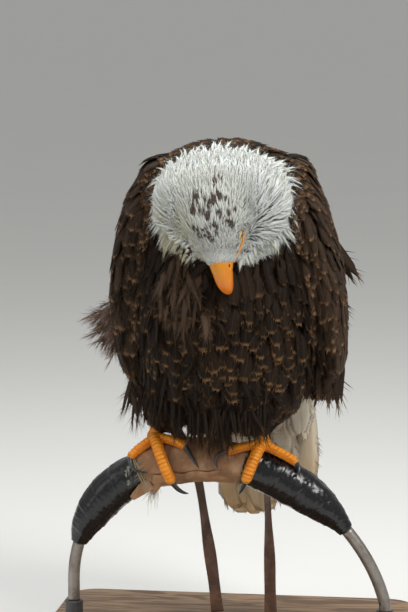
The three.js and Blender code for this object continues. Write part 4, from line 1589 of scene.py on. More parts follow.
@dataclass
class Head:
    """Bill with its soft cere, the fleshy line of the mouth, nostrils and eyes."""

    form: Form
    horn: HornFinish = field(default_factory=lambda: HornFinish("Bill_horn", "bill_horn"))
    gape: HornFinish = field(default_factory=lambda: HornFinish(
        "Mouth_flesh", "bill_horn", base=(0.80, 0.36, 0.03), deep=(0.66, 0.24, 0.02),
        rough=0.5, coat=0.1))
    # Near-black horn for the nostrils: painted shade of their openings.
    dark: HornFinish = field(default_factory=lambda: HornFinish(
        "Nostril_dark", "claw_horn", base=(0.05, 0.022, 0.008), deep=(0.02, 0.01, 0.005),
        rough=0.7, coat=0.0))
    look: EyeFinish = field(default_factory=lambda: EyeFinish("Eye_gloss", "eye"))

    def mandible(self, name: str, node: str, rows: Sequence, upper: bool) -> None:
        """One half of the bill: a pointed arch above a flat edge, swept along its middle.

        The section at angle a is (w cos a |cos a|^p, d sin a), with p sharper toward the
        ridge, and its underside flattened; the upper half has the cere's swelling, a groove
        in front of it and a dip for each nostril.

        Args:
            name: the piece's name.
            node: the node that it replaces.
            rows: stations along the bill: place, left, up, half-width and half-depth.
            upper: whether it is the upper half.
        """
        line = along(rows, np.linspace(0, 1, 72))
        path = on_head(line[:, :3])
        _, _, left, crown = head_axes()
        _, side, cross = frames(path, left)
        angle = np.linspace(0, TURN, 65)
        c, n = np.cos(angle), np.sin(angle)
        top = n > 0
        flip = 1.0 if np.dot(cross[0], crown) > 0 else -1.0
        x = rounded(c, np.where(top == upper, 1.12, 0.80))
        y = np.where(top, n, -0.74 * np.abs(n) ** 0.62) if upper else np.where(
            top, 0.6 * np.abs(n) ** 0.5, -np.abs(n) ** 0.85)
        wide, deep = line[:, 3:4] * MM, line[:, 4:5] * MM
        h = line[:, 0:1]
        swell = 1.0
        if upper:
            swell = 1 + 0.035 * (1 - smooth(h, 60, 62)) - 0.025 * np.exp(-((h - 63) / 1.6) ** 2)
            for spot in (math.radians(24), math.radians(156)):
                far = ((h - 55.0) / 3.4) ** 2 + ((angle[None] - spot) / 0.11) ** 2
                swell = swell - 0.15 * np.exp(-far)
        mould = 1 + 0.012 * lumps(path[:, None] / MM + x[None, :, None] * 9, 9.0, 21)
        points = (path[:, None] + side[:, None] * (wide * x * swell * mould)[..., None]
                  + flip * cross[:, None] * (deep * y * swell * mould)[..., None])
        points = capped(points, points[0].mean(0), points[-1].mean(0))
        grow = np.concatenate([[0], smooth(line[:, 0], 40, 88), [1]])
        shell = Shell()
        shell.add(points, grid_faces(*points.shape[:2]),
                  Grow=np.broadcast_to(grow[:, None, None], (*points.shape[:2], 1)))
        piece = shell.build(name, self.horn, weld=True)
        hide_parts(node)

    def mouth(self) -> None:
        """The fleshy gape: a rounded fold from the bill's root back under the eye."""
        shell = Shell()
        for s, _ in SIDES:
            path = gape_line(s, 40)
            place = np.linspace(0, 1, 40)
            laid = self.form.settle(path, np.full(40, 0.0001))
            path = path + (laid - path) * smooth(place, 0.1, 0.35)[:, None]
            half = along(((1.5, 1.8), (1.8, 2.2), (1.9, 2.2), (1.7, 1.9), (1.3, 1.5),
                          (0.3, 0.4)), place) * MM
            sweep(shell, path, half, head_axes()[3], 20, 0.0006, Grow=0.35)
        shell.build("Mouth_fold", self.gape, weld=True)

    def nostrils(self) -> None:
        """Two near-black slits set into the dips of the cere: painted shade standing for the
        nostrils' openings.
        """
        shell = Shell()
        for s, _ in SIDES:
            line = on_head(np.array([(52.4, 13.0 * s, 7.2), (55.0, 12.5 * s, 7.6),
                                     (57.6, 11.7 * s, 8.6)]))
            path = along(line, np.linspace(0, 1, 14))
            half = np.sin(np.linspace(0.4, 2.7, 14))[:, None] * [0.9, 1.7] * MM
            sweep(shell, path, half, s * head_axes()[2] + head_axes()[3], 14, 0.0004, Grow=0.0)
        shell.build("Nostrils", self.dark, weld=True)

    def eyes(self) -> None:
        """Each eye is a globe with a clear bulge in front; Look runs from its gaze."""
        for s, name in SIDES:
            centre, gaze, fore, up = eye_axes(s)
            lean = np.linspace(0, math.pi, 41)[:, None]
            turn = np.linspace(0, TURN, 49)[None]
            radius = (11.3 + 0.9 * np.cos(np.clip(lean / 0.75, 0, 1) * math.pi / 2) ** 1.2) * MM
            around = fore * np.cos(turn)[..., None] + up * np.sin(turn)[..., None] * s
            points = centre + radius[..., None] * (gaze * np.cos(lean)[..., None]
                                                   + around * np.sin(lean)[..., None])
            look = np.stack(np.broadcast_arrays(turn / TURN,
                                                lean / (math.pi / 2)), -1)
            shell = Shell()
            shell.add(points, grid_faces(41, 49), Look=look)
            piece = shell.build("Eyeball_" + name, self.look, weld=True)
            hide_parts("eye_" + name)

    def build(self) -> None:
        """Builds the bill, mouth, nostrils and eyes."""
        self.mandible("Bill_upper_half", "bill_upper", (
            (20, 0, -2, 19, 15), (29, 0, -1, 19, 15), (42, 0, 1, 17.5, 16.5),
            (58, 0, 2, 14.4, 15.5), (75, 0, -2, 11.9, 13), (85.5, 0, -10.5, 8.3, 9.5),
            (89.3, 0, -20, 3.7, 4.6), (89.0, 0, -27, 0.5, 0.6)), True)
        self.mandible("Bill_lower_half", "bill_lower", (
            (33, 0, -14, 11, 5.0), (38, 0, -14, 13.2, 6.2), (44, 0, -13.6, 14.0, 7.0),
            (60, 0, -10.6, 10.8, 6.2), (70, 0, -11.0, 7.4, 4.6), (76, 0, -13.0, 1.4, 1.0)),
            False)
        self.mouth()
        self.nostrils()
        self.eyes()


# ---------------------------------------------------------------- feet and straps


BOW_MIDDLE = 8.0  # the bow's middle along X, in mm
BOW_HALF, BOW_RISE = 226.0, 214.0  # its half-width and its rise over the middle, in mm
BOW_FOOT = -243.0  # the middle's height over the perch's level, in mm
BOW_LEAN, BOW_PIVOT = 0.16, -8.0  # mm that it drops for each mm toward +X, and from where


def bow_point(degrees: Array) -> Array:
    """The bow's centre line at angles in degrees: an arc that leans a little to one side."""
    a = np.radians(degrees)
    x = BOW_MIDDLE + BOW_HALF * np.cos(a)
    z = BOW_FOOT + BOW_RISE * np.sin(a) - BOW_LEAN * (x - BOW_PIVOT)
    return np.stack([x, np.zeros_like(x), z + PERCH_LEVEL], -1) * MM


def bow_degrees(x: Array) -> Array:
    """The angles at which the bow passes places along X, in mm."""
    return np.degrees(np.arccos(np.clip((x - BOW_MIDDLE) / BOW_HALF, -1, 1)))


def frame_on_bow(degrees: Array) -> tuple[Array, Array]:
    """Unit directions along the bow, toward +X, and out of it at angles in degrees."""
    run = unit(bow_point(degrees - 0.05) - bow_point(degrees + 0.05))
    return run, np.stack([-run[..., 2], 0 * run[..., 0], run[..., 0]], -1)


def on_bow(degrees: Array, turn: Array, radius: Array) -> Array:
    """Points about the bow: degrees along it, degrees round from its outside, and mm out."""
    _, out = frame_on_bow(degrees)
    turn = np.radians(turn)[..., None]
    return (bow_point(degrees) + out * (radius * MM)[..., None] * np.cos(turn)
            + np.array([0, -1.0, 0]) * (radius * MM)[..., None] * np.sin(turn))


@dataclass(frozen=True)
class Covering:
    """A covering of the bow: its first angle and its length in degrees, and radii in mm."""

    start: float
    length: float
    radii: tuple

    def radius(self, degrees: Array) -> Array:
        """Its radius in mm at angles along the bow."""
        return along(self.radii, (degrees - self.start) / self.length)


HIDE = Covering(85.0, 38.0, (27, 30, 31.5, 28.5))
TAPE_LEFT = Covering(84.6, -41.1, (27.5, 30, 30, 23.5, 11))
TAPE_RIGHT = Covering(123.4, 41.1, (28.5, 29.5, 28.5, 23.5, 12))


def padding_radius(degrees: Array) -> Array:
    """Radius of the padded bow in mm: leather in the middle and tape beyond it."""
    return np.where(degrees < 85, TAPE_LEFT.radius(degrees), np.where(
        degrees > 123.2, TAPE_RIGHT.radius(degrees), HIDE.radius(degrees)))


def on_padding(foot_x: float, reach: Array, wrap: Array, height: Array) -> Array:
    """Points on the padding: mm along it from a foot, degrees round it and mm over it."""
    start = bow_degrees(foot_x)
    gauge = np.linalg.norm(bow_point(start - 0.05) - bow_point(start + 0.05)) / MM / 0.1
    degrees = start - np.asarray(reach, float) / gauge
    return on_bow(degrees, wrap, padding_radius(degrees) + height)


@dataclass(frozen=True)
class Toe:
    """One toe: its end, and its claw's bend and tip, as (mm along, degrees round, height)."""

    name: str
    end: tuple
    bend: tuple
    tip: tuple
    radii: tuple
    claw: float
    plates: int

    def path(self, foot_x: float, t: Array) -> Array:
        """The toe's middle line."""
        start = math.copysign(8.0, self.end[1])
        return on_padding(foot_x, self.end[0] * t, start + (self.end[1] - start) * t,
                          along(self.radii, t) + 0.6)

    def claw_path(self, foot_x: float, t: Array) -> Array:
        """The claw's middle line: a quadratic Bezier curve."""
        spots = [np.array([*self.end[:2], self.radii[-1] + 0.6]), np.array(self.bend),
                 np.array(self.tip)]
        a, b, c = (on_padding(foot_x, np.array([p[0]]), np.array([p[1]]), np.array([p[2]]))
                   for p in spots)
        t = t[:, None]
        return (1 - t) ** 2 * a + 2 * t * (1 - t) * b + t**2 * c


INNER, MIDDLE, OUTER, HIND = ((7.6, 6.8, 6.4, 6.0), (8.6, 8.2, 8.0, 7.4),
                              (7.6, 6.8, 6.4, 5.8), (8.6, 7.8, 7.2, 6.6))


@dataclass
class Foot:
    """A foot on the perch: where it stands, its toes and its straps."""

    side: str
    x: float
    toes: tuple
    drift: float
    turn: float


FOOT_RIGHT = Foot("right", -88.0, (
    Toe("inner", (37, 48), (46, 74, 9), (55, 102, 3), INNER, 4.6, 7),
    Toe("middle", (12, 122), (15, 160, 14), (33, 160, 17), MIDDLE, 4.6, 13),
    Toe("outer", (-34, 38), (-44, 74, 8), (-19, 92, 3), OUTER, 3.9, 7),
    Toe("hind", (-8, -80), (-9, -120, 12), (-10, -140, 3), HIND, 5.2, 7)), 71.0, 62.0)
FOOT_LEFT = Foot("left", 42.0, (
    Toe("inner", (-38, 54), (-60, 66, 9), (-50, 98, 3), INNER, 4.6, 7),
    Toe("middle", (-5, 110), (-7, 142, 13), (-12, 160, 14), MIDDLE, 4.6, 12),
    Toe("outer", (47, 22), (61, 40, 8), (52, 56, 3), OUTER, 3.9, 8),
    Toe("hind", (8, -80), (9, -120, 12), (10, -140, 3), HIND, 5.2, 7)), 18.0, -55.0)


@dataclass
class Feet:
    """Both feet: flesh for the skin, scutes over it, claws, cuffs and straps."""

    scute: HornFinish = field(default_factory=lambda: HornFinish(
        "Foot_scutes", "foot_skin", base=(0.88, 0.34, 0.006), deep=(0.78, 0.17, 0.002),
        rough=0.45, coat=0.1, streak=(300, 300, 300), wear=0.35))
    claw: HornFinish = field(default_factory=lambda: HornFinish(
        "Claw_horn", "claw_horn", base=(0.034, 0.039, 0.048), deep=(0.008, 0.008, 0.010),
        rough=0.3, coat=0.5, streak=(500, 500, 90), wear=0.3))
    strap: LeatherFinish = field(default_factory=lambda: LeatherFinish(
        "Strap_hide", "strap_leather", base=(0.105, 0.050, 0.028), worn=(0.20, 0.10, 0.058),
        stain=(0.04, 0.022, 0.015), rough=0.5, grain=1400.0))
    feet: tuple = (FOOT_LEFT, FOOT_RIGHT)

    def base(self, foot: Foot) -> Array:
        """The bottom of the shank."""
        zero = np.zeros(1)
        return on_padding(foot.x, zero, zero, zero + 9.0)[0]

    def flesh(self) -> Shell:
        """Toes with swollen pads under their joints, the foot's palm and the shank."""
        shell = Shell()
        for foot in self.feet:
            for toe in foot.toes:
                t = np.linspace(0, 1, 44)
                path = toe.path(foot.x, t)
                radius = along(toe.radii, t) * MM
                joints = 3 if toe.name == "middle" else 2
                knuckle = np.abs(np.cos(math.pi * joints * (t - 0.06))) ** 3
                angle = np.linspace(0, TURN, 29)
                up = self.above(path)
                under = np.clip(-np.sin(angle), 0, 1)[None]
                profile = 0.93 + 0.05 * knuckle[:, None] + 0.10 * under * knuckle[:, None]
                half = np.stack([radius * 0.97, radius], -1)
                tangent = unit(np.gradient(path, axis=0))
                sweep(shell, path, half, np.cross(up, tangent), 28, 0.004, profile)
            middle = on_padding(foot.x, np.zeros(1), np.zeros(1), np.full(1, 11.0))[0]
            line = middle + np.array([[0, -0.004, 0], [0, 0, 0.0005], [0, 0.004, 0]])
            sweep(shell, along(line, np.linspace(0, 1, 9)), np.array([0.0115, 0.0095]),
                  (1, 0, 0), 28, 0.0075)
            t = np.linspace(0, 1, 12)[:, None]
            shank = self.base(foot) + t * [0, 0, 0.056] + t * t * [0, 0.007, 0]
            sweep(shell, shank, np.array([0.0088, 0.0092]), (1, 0, 0), 28, 0.004)
        return shell

    @staticmethod
    def above(path: Array) -> Array:
        """Directions from the bow's middle line to points near it."""
        degrees = bow_degrees(path[:, 0] / MM)
        away = path - bow_point(degrees)
        run, _ = frame_on_bow(degrees)
        return unit(away - dot(away, run) * run)

    def plate(self, shell: Shell, place: Array, ahead: Array, side: Array, up: Array,
              size: tuple, bend: float, grow: float) -> None:
        """One scute: a lens-shaped section carried round the top of a toe.

        Args:
            shell: what it is added to.
            place: the toe's middle there.
            ahead: the toe's direction.
            side: across it.
            up: out of its top.
            size: radius, half-length and thickness.
            bend: half the angle that it wraps, in radians.
            grow: its tint.
        """
        radius, long, thick = size
        angle = np.linspace(-bend, bend, 13)
        s = np.array([-1.0, -0.86, -0.3, 0.4, 0.9, 1.0, 0.3, -0.5])
        z = np.array([0.0, 0.30, 0.72, 1.0, 0.85, 0.10, -0.3, -0.3])
        fade = np.sqrt(np.clip(1 - (angle / bend) ** 4, 0.02, 1))
        bow = 1 - 0.35 * (angle / bend) ** 2
        out = up * np.cos(angle)[:, None] + side * np.sin(angle)[:, None]
        lift = radius + thick * z[None] * fade[:, None]
        reach = long * s[None] * (0.5 + 0.5 * fade[:, None]) + long * 0.35 * (bow[:, None] - 1)
        points = place + out[:, None] * lift[..., None] + ahead * reach[..., None]
        quads = wrapped_faces(*points.shape[:2])
        e = 12 * len(s)
        caps = np.array([[3, 2, 1, 0], [4, 3, 0, 7], [5, 4, 7, 6],
                         [e, e + 1, e + 2, e + 3], [e + 7, e, e + 3, e + 4],
                         [e + 6, e + 7, e + 4, e + 5]])
        shell.add(points, np.concatenate([quads, caps])[:, ::-1],
                  Grow=np.full((*points.shape[:2], 1), grow))

    def scutes(self, foot: Foot) -> None:
        """Broad plates along the top of every toe and shank, and small grains beside them."""
        rng = np.random.default_rng(400 + int(foot.x))
        shell = Shell()
        grains: list[tuple[Array, Array, Array]] = []
        for toe in foot.toes:
            edges = np.linspace(0.10, 0.97, toe.plates + 1)
            t = (edges[1:] + edges[:-1]) / 2
            fine = np.linspace(0, 1, 90)
            path = toe.path(foot.x, fine)
            pick = np.clip((t * 89).round().astype(int), 1, 88)
            tangent, up = unit(np.gradient(path, axis=0)), self.above(path)
            up = unit(up - dot(up, tangent) * tangent)
            length = np.linalg.norm(np.diff(path, axis=0), axis=1).sum()
            radius = along(toe.radii, fine) * MM
            for k in pick:
                side = np.cross(tangent[k], up[k])
                self.plate(shell, path[k], tangent[k], side, up[k],
                           (radius[k] * 0.93, 0.58 * length * 0.87 / toe.plates,
                            0.00125 * rng.uniform(0.8, 1.2)), rng.uniform(1.05, 1.2),
                           rng.uniform(0.0, 0.45))
            rows = int(length / 0.0021)
            k = np.repeat(np.linspace(6, 86, rows).astype(int), 8)
            angle = np.tile([1.28, 1.55, 1.85, 2.2, -1.28, -1.55, -1.85, -2.2], rows)
            angle = angle + rng.normal(0, 0.05, len(k)) + 0.07 * (k % 2)
            out = up[k] * np.cos(angle)[:, None] + np.cross(tangent[k], up[k]) * np.sin(
                angle)[:, None]
            grains.append((path[k] + out * (radius[k] * 0.93)[:, None], out, tangent[k]))
        base = self.base(foot)
        for z in np.arange(6, 40, 4.4):
            place = base + np.array([0, 0.007 * (z / 56) ** 2, z * MM])
            self.plate(shell, place, np.array([0, 0, -1.0]), np.array([-1.0, 0, 0]),
                       np.array([0, -1.0, 0]), (0.0088, 0.0027, 0.0012), 1.15,
                       rng.uniform(0, 0.4))
        place, out, ahead = (np.concatenate(part) for part in zip(*grains))
        self.pebbles(shell, place, out, ahead, rng)
        shell.build("Scutes_" + foot.side, self.scute)

    def pebbles(self, shell: Shell, place: Array, out: Array, ahead: Array,
                rng: np.random.Generator) -> None:
        """Small domes: two rings of six points about each place, closed above and below."""
        n = len(place)
        side = np.cross(out, ahead)
        turn = np.arange(6) * math.pi / 3 + rng.uniform(0, 1, (n, 1))
        size = (rng.uniform(0.85, 1.25, (n, 1)) * MM)[..., None]
        ring = side[:, None] * np.cos(turn)[..., None] + ahead[:, None] * np.sin(
            turn)[..., None]
        low = place[:, None] + ring * size - out[:, None] * 0.0004
        high = place[:, None] + ring * size * 0.62 + out[:, None] * 0.00055
        top = place[:, None] + out[:, None] * 0.00075
        under = place[:, None] - out[:, None] * 0.0005
        points = np.concatenate([low, high, top, under], 1)
        j = np.arange(6)
        k = (j + 1) % 6
        quads = np.stack([j, k, k + 6, j + 6], -1)
        tris = np.concatenate([np.stack([j + 6, k + 6, np.full(6, 12)], -1),
                               np.stack([k, j, np.full(6, 13)], -1)])
        shift = (np.arange(n) * 14)[:, None, None]
        shell.add(points, (quads[None] + shift)[..., ::-1], (tris[None] + shift)[..., ::-1],
                  Grow=np.repeat(rng.uniform(0.1, 0.9, (n, 1, 1)), 14, 1))

    def claws(self, foot: Foot) -> None:
        """Each claw: an ellipse that shrinks as the root of what is left of its length."""
        for toe in foot.toes:
            t = np.linspace(0, 1, 40)
            path = toe.claw_path(foot.x, t)
            radius = toe.claw * np.sqrt(1 - t * 0.988) * (1 + 0.10 * np.exp(-t * 14)) * MM
            angle = np.linspace(0, TURN, 33)
            keel = 1 - 0.16 * np.clip(-np.sin(angle), 0, 1)[None] ** 2 * np.ones((40, 1))
            up = self.above(path)
            tangent = unit(np.gradient(path, axis=0))
            shell = Shell()
            sweep(shell, path, np.stack([radius * 0.88, radius], -1), np.cross(up, tangent),
                  32, 0.0006, keel)
            rows = len(shell.points[0]) // 33
            grow = smooth(np.linspace(0, 1, rows), 0.0, 0.75)
            shell.values = {"Grow": [np.repeat(grow, 33)[:, None]]}
            piece = shell.build(f"Talon_{foot.side}_{toe.name}", self.claw, weld=True)
            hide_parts(f"claw_{foot.side}_{toe.name}")

    def cuff(self, foot: Foot) -> None:
        """A leather cuff round the shank: a rounded band with a lapped, slightly wavy edge."""
        angle = np.linspace(0, TURN, 73)
        s = np.linspace(0, TURN, 25)
        base = self.base(foot) + np.array([0, 0.006 * (24 / 46) ** 2, 0.024])
        box_r, box_z = rounded(np.cos(s), 0.35), rounded(np.sin(s), 0.35)
        wave = 0.5 * np.sin(3 * angle + 0.5) + 0.25 * np.sin(7 * angle)
        radius = 11.9 + 1.2 * box_r[None] + 0.25 * wave[:, None]
        height = 6.9 * box_z[None] + 0.5 * wave[:, None]
        points = base + MM * np.stack([radius * np.cos(angle)[:, None],
                                       radius * np.sin(angle)[:, None],
                                       height + 0 * angle[:, None]], -1)
        shell = Shell()
        shell.add(points, grid_faces(73, 25))
        piece = shell.build("Anklet_cuff_" + foot.side, self.strap, weld=True)
        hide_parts("anklet_" + foot.side)

    def jess(self, foot: Foot) -> None:
        """A flat strap from the cuff over the perch's back, twisting as it falls."""
        z0 = self.base(foot)[2] / MM
        back = 13.2 + 0.9 + GAP + 1
        d = foot.drift
        knots = ((foot.x, back + 2.6, z0 + 24), (foot.x + 0.12 * d, back + 26, z0 + 6),
                 (foot.x + 0.5 * d, 62, -52 + PERCH_LEVEL),
                 (foot.x + 0.8 * d, 54, -160 + PERCH_LEVEL),
                 (foot.x + d, 48, -262 + PERCH_LEVEL))
        t = np.linspace(0, 1, 120)
        path = along(knots, t) * MM
        run = run_along(path)
        share = run / run[-1]
        turn = np.radians(foot.turn * np.sin(math.pi * np.minimum(1, share * 1.15)))
        side = np.stack([np.cos(turn), np.sin(turn), 0 * turn], -1)
        s = np.linspace(0, TURN, 33)
        x, y = rounded(np.cos(s), 0.3), rounded(np.sin(s), 0.3)
        _, side, cross = frames(path, side)
        wide = (9.4 - 1.2 * np.sin(share * 9) ** 2) * MM
        cup = 0.9 * MM * (x**2)[None] * np.sin(share * 6)[:, None]
        points = (path[:, None] + side[:, None] * (wide[:, None] * x)[..., None]
                  + cross[:, None] * (1.25 * MM * y[None] + cup)[..., None])
        points = capped(points, path[0], path[-1])
        shell = Shell()
        shell.add(points, grid_faces(*points.shape[:2]))
        piece = shell.build("Jess_strap_" + foot.side, self.strap, weld=True)
        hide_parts("jess_" + foot.side)

    def build(self) -> None:
        """Builds the scutes, claws, cuffs and straps of both feet."""
        for foot in self.feet:
            self.scutes(foot)
            self.claws(foot)
            self.cuff(foot)
            self.jess(foot)


# ---------------------------------------------------------------- the coat's tracts


@dataclass
class Plumage:
    """Every tract of the coat; most methods build one tract, in one piece or more."""

    form: Form
    coat: Coat = field(init=False)
    brown: VaneFinish = field(default_factory=lambda: VaneFinish("Brown_plumage",
                                                                 "plumage_brown"))
    # A darker copy of the brown for the breast, belly and thighs: partly their own deeper brown,
    # partly painted shade under the body's overhang.
    deep: VaneFinish = field(default_factory=lambda: VaneFinish(
        "Breast_plumage", "plumage_brown", dark=(0.0042, 0.0024, 0.0014),
        light=(0.026, 0.0145, 0.0080), tip=(0.20, 0.108, 0.047), rim=(0.88, 1.0)))
    # A lighter copy of the brown for the wings: partly the wings' own paler brown, partly painted
    # light on the lit upper sides.
    wing_brown_paler_and_lit: VaneFinish = field(default_factory=lambda: VaneFinish(
        "Wing_plumage", "plumage_brown", dark=(0.0075, 0.0045, 0.0029),
        light=(0.080, 0.049, 0.031), tip=(0.26, 0.15, 0.08), rim=(0.86, 1.0)))
    # White feathers take their tip colour as a greenish-yellow tint, by each feather's tip
    # strength: painted reflected light and painted shade.
    white: VaneFinish = field(default_factory=lambda: VaneFinish(
        "White_plumage", "plumage_white", dark=(0.57, 0.605, 0.60), light=(0.75, 0.785, 0.78),
        tip=(0.66, 0.60, 0.36), mark=(0.085, 0.057, 0.045), rough=0.85, rim=(0.1, 0.9),
        shaft=0.03, streak=0.35, soft=0.15, depth=0.002, relief=0.12, gloss=0.06))
    flight: VaneFinish = field(default_factory=lambda: VaneFinish(
        "Flight_feathers", "plumage_brown", dark=(0.014, 0.010, 0.009),
        light=(0.040, 0.027, 0.021), tip=(0.13, 0.08, 0.05), rough=0.42, rim=(0.93, 1.0),
        shaft=0.5))
    tail: VaneFinish = field(default_factory=lambda: VaneFinish(
        "Tail_plumage", "plumage_white", dark=(0.70, 0.56, 0.38), light=(0.88, 0.84, 0.72),
        tip=(0.60, 0.40, 0.21), mark=(0.36, 0.23, 0.12), rough=0.7, rim=(0.60, 1.0),
        shaft=0.25, gloss=0.12, soft=0.35))
    soft: VaneFinish = field(default_factory=lambda: VaneFinish(
        "Soft_plumage", "plumage_brown", dark=(0.017, 0.0105, 0.0070),
        light=(0.125, 0.079, 0.053), tip=(0.26, 0.165, 0.10), rough=0.75, gloss=0.1,
        shaft=0.25, relief=0.3))
    fluff: VaneFinish = field(default_factory=lambda: VaneFinish(
        "Down_plumage", "plumage_brown", dark=(0.10, 0.062, 0.048), light=(0.27, 0.18, 0.145),
        tip=(0.32, 0.22, 0.18), rough=0.8, gloss=0.1, shaft=0.0, relief=0.1))

    def __post_init__(self) -> None:
        """Makes the coat's maker."""
        self.coat = Coat(self.form)

    def crown(self) -> None:
        """Small feathers of forehead, crown and cheeks, growing longer to the nape."""
        rng = np.random.default_rng(11)
        limb = self.form.limb("head")
        shell, front = Shell(), Shell()
        for span, gauge in (((-0.95, 0.30), 2.9), ((0.30, 0.85), 2.3), ((0.85, 1.9), 1.75)):
            points, t, angle = self.coat.rows(limb, gauge, gauge * 1.02, span, rng, 0.45,
                                              0.008)
            h, l, c = in_head(points)
            eye = from_eyes(points)
            lips = np.min([np.linalg.norm(points[:, None] - gape_line(k, 24)[None], axis=2).min(1)
                           for k, _ in SIDES], 0) / MM
            bald = (eye < 12.9) | (h > 52.5) | ((h > 46) & (c < -8)) | (lips < 1.6)
            keep = self.coat.owned(points, "head", 13) & ~bald
            points, t, angle, h, l, eye = kept(keep, points, t, angle, h, l, eye)
            n = len(points)
            grow = smooth(-h, -36.0, 42.0)
            lay = self.coat.spread(points, t, angle, rng, length=lambda t: 0 * t + 1,
                                   half=lambda t: 0 * t + 1, low=0.8, high=0.2, swing=7,
                                   shade=(0.3, 1.0), tip=(0.1, 0.6))
            near = smooth(eye, 13.0, 21.0)
            lay.length = (6.0 + 15.0 * grow) * (0.6 + 0.4 * near) * MM * rng.uniform(
                0.8, 1.2, n)
            lay.half = (0.8 + 0.95 * grow) * MM * rng.uniform(0.85, 1.2, n)
            lay.high = (0.1 + 1.0 * grow) * MM * rng.uniform(0.2, 1.8, n)
            lay.low = lay.low * (0.25 + 0.75 * smooth(-h, -42.0, -22.0))
            _, _, lie, _ = self.form.read(points)
            mark = flecks(points + lie * lay.length[:, None] * 0.7)
            lay.mark = smooth(mark + rng.normal(0, 0.08, n), 0.25, 0.70)
            # Here the tip strength is the greenish-yellow tint, strongest low on the bird's right
            # cheek: painted reflected light and painted shade.
            lay.tip = 0.2 + 0.6 * smooth(-l, 0.0, 40.0) * smooth(h, -45.0, 10.0) * rng.uniform(
                0.4, 1.0, n)
            lay.clump(13.0, 50, 9.0, 0.1, 0.8)
            self.coat.mesh(front if span[0] > 0.8 else shell, lay, LANCE, rng, follow=0.7,
                           rise=0.5, roll=0.1)
        shell.build("Coat_crown", self.white)
        front.build("Coat_face", self.white)

    def hood(self) -> None:
        """Long lance-shaped hackles of the neck, ruffled so that their tips stand out."""
        rng = np.random.default_rng(12)
        for name, span in (("Coat_hood_face", (1.22, 1.95)), ("Coat_hood_rim", (0.93, 1.22)),
                           ("Coat_hood_back", (0.50, 0.93))):
            points, t, angle = self.coat.sown("neck", 3.6, 3.9, span, rng, 0.5, 5)
            lay = self.coat.spread(points, t, angle, rng,
                                   length=lambda t: 33 - 9 * smooth(t, 1.2, 1.9),
                                   half=lambda t: 2.0 + 0 * t, low=0.45, high=-4.0, swing=6,
                                   shade=(0.3, 1.0), tip=(0.1, 0.6))
            beside, under = self.form.over(points, "head"), self.under(points)
            lay.length = lay.length * (1 - 0.58 * under)
            lay.high = lay.high - (5 + 8 * under) * (1 - smooth(beside, 4, 34)) * MM
            lay.high = lay.high - 6 * under * MM
            flare = smooth(t, 0.6, 0.95) * (1 - smooth(t, 1.45, 1.8))
            lay.high = lay.high + flare * rng.uniform(0.0, 5.0, len(t)) * MM
            lay.clump(15.0, 60, 13.0, 0.16, 1.4)
            lay.tip = self.painted_reflection_tint(points, rng)
            shell = Shell()
            self.coat.mesh(shell, lay, LANCE, rng, follow=0.5, rise=0.45, roll=0.06,
                           cling=0.5, curl=flare * 0.004)
            self.hackles(shell, span, rng)
            shell.build(name, self.white)

    @staticmethod
    def under(points: Array) -> Array:
        """How far points are below the head's middle, from 0 to 1."""
        return smooth(head_axes()[0][2] / MM - points[:, 2] / MM, -10.0, 45.0)

    @staticmethod
    def painted_reflection_tint(points: Array, rng: np.random.Generator) -> Array:
        """Each white feather's greenish-yellow tint, most on the bird's right and low down: painted
        reflected light and painted shade.
        """
        low, side, _ = in_head(points)
        return np.clip(0.15 + 0.6 * smooth(-side, 10.0, 60.0) * smooth(low, -40.0, 20.0)
                       + rng.normal(0, 0.12, len(points)), 0, 1)

    def hackles(self, shell: Shell, span: tuple, rng: np.random.Generator) -> None:
        """Longer pointed feathers scattered over the hood, whose tips break its outline."""
        points, t, angle = self.coat.sown("neck", 7.0, 8.0, span, rng, 0.5, 4)
        points, t, angle = kept(self.form.over(points, "head") > 12, points, t, angle)
        n = len(points)
        lay = self.coat.spread(points, t, angle, rng, length=lambda t: 0 * t + 36.0,
                               half=lambda t: 0 * t + 2.5, low=0.35, high=0.0, swing=9,
                               shade=(0.45, 1.0))
        side = np.abs((points - head_axes()[0]) @ head_axes()[2]) / MM
        under = self.under(points)
        lay.length = lay.length * rng.uniform(0.75, 1.15, n) * (1 - 0.52 * under)
        lay.high = rng.uniform(-4.5, 1.5, n) * MM + 2.0 * MM * smooth(side, 40, 80)
        lay.high = lay.high - 5 * under * MM
        lay.clump(18.0, 64, 16.0, 0.15, 2.0)
        lay.tip = self.painted_reflection_tint(points, rng)
        self.coat.mesh(shell, lay, SPIKE, rng, follow=0.35, rise=0.5, roll=0.2, cling=0.3,
                       curl=0.002)

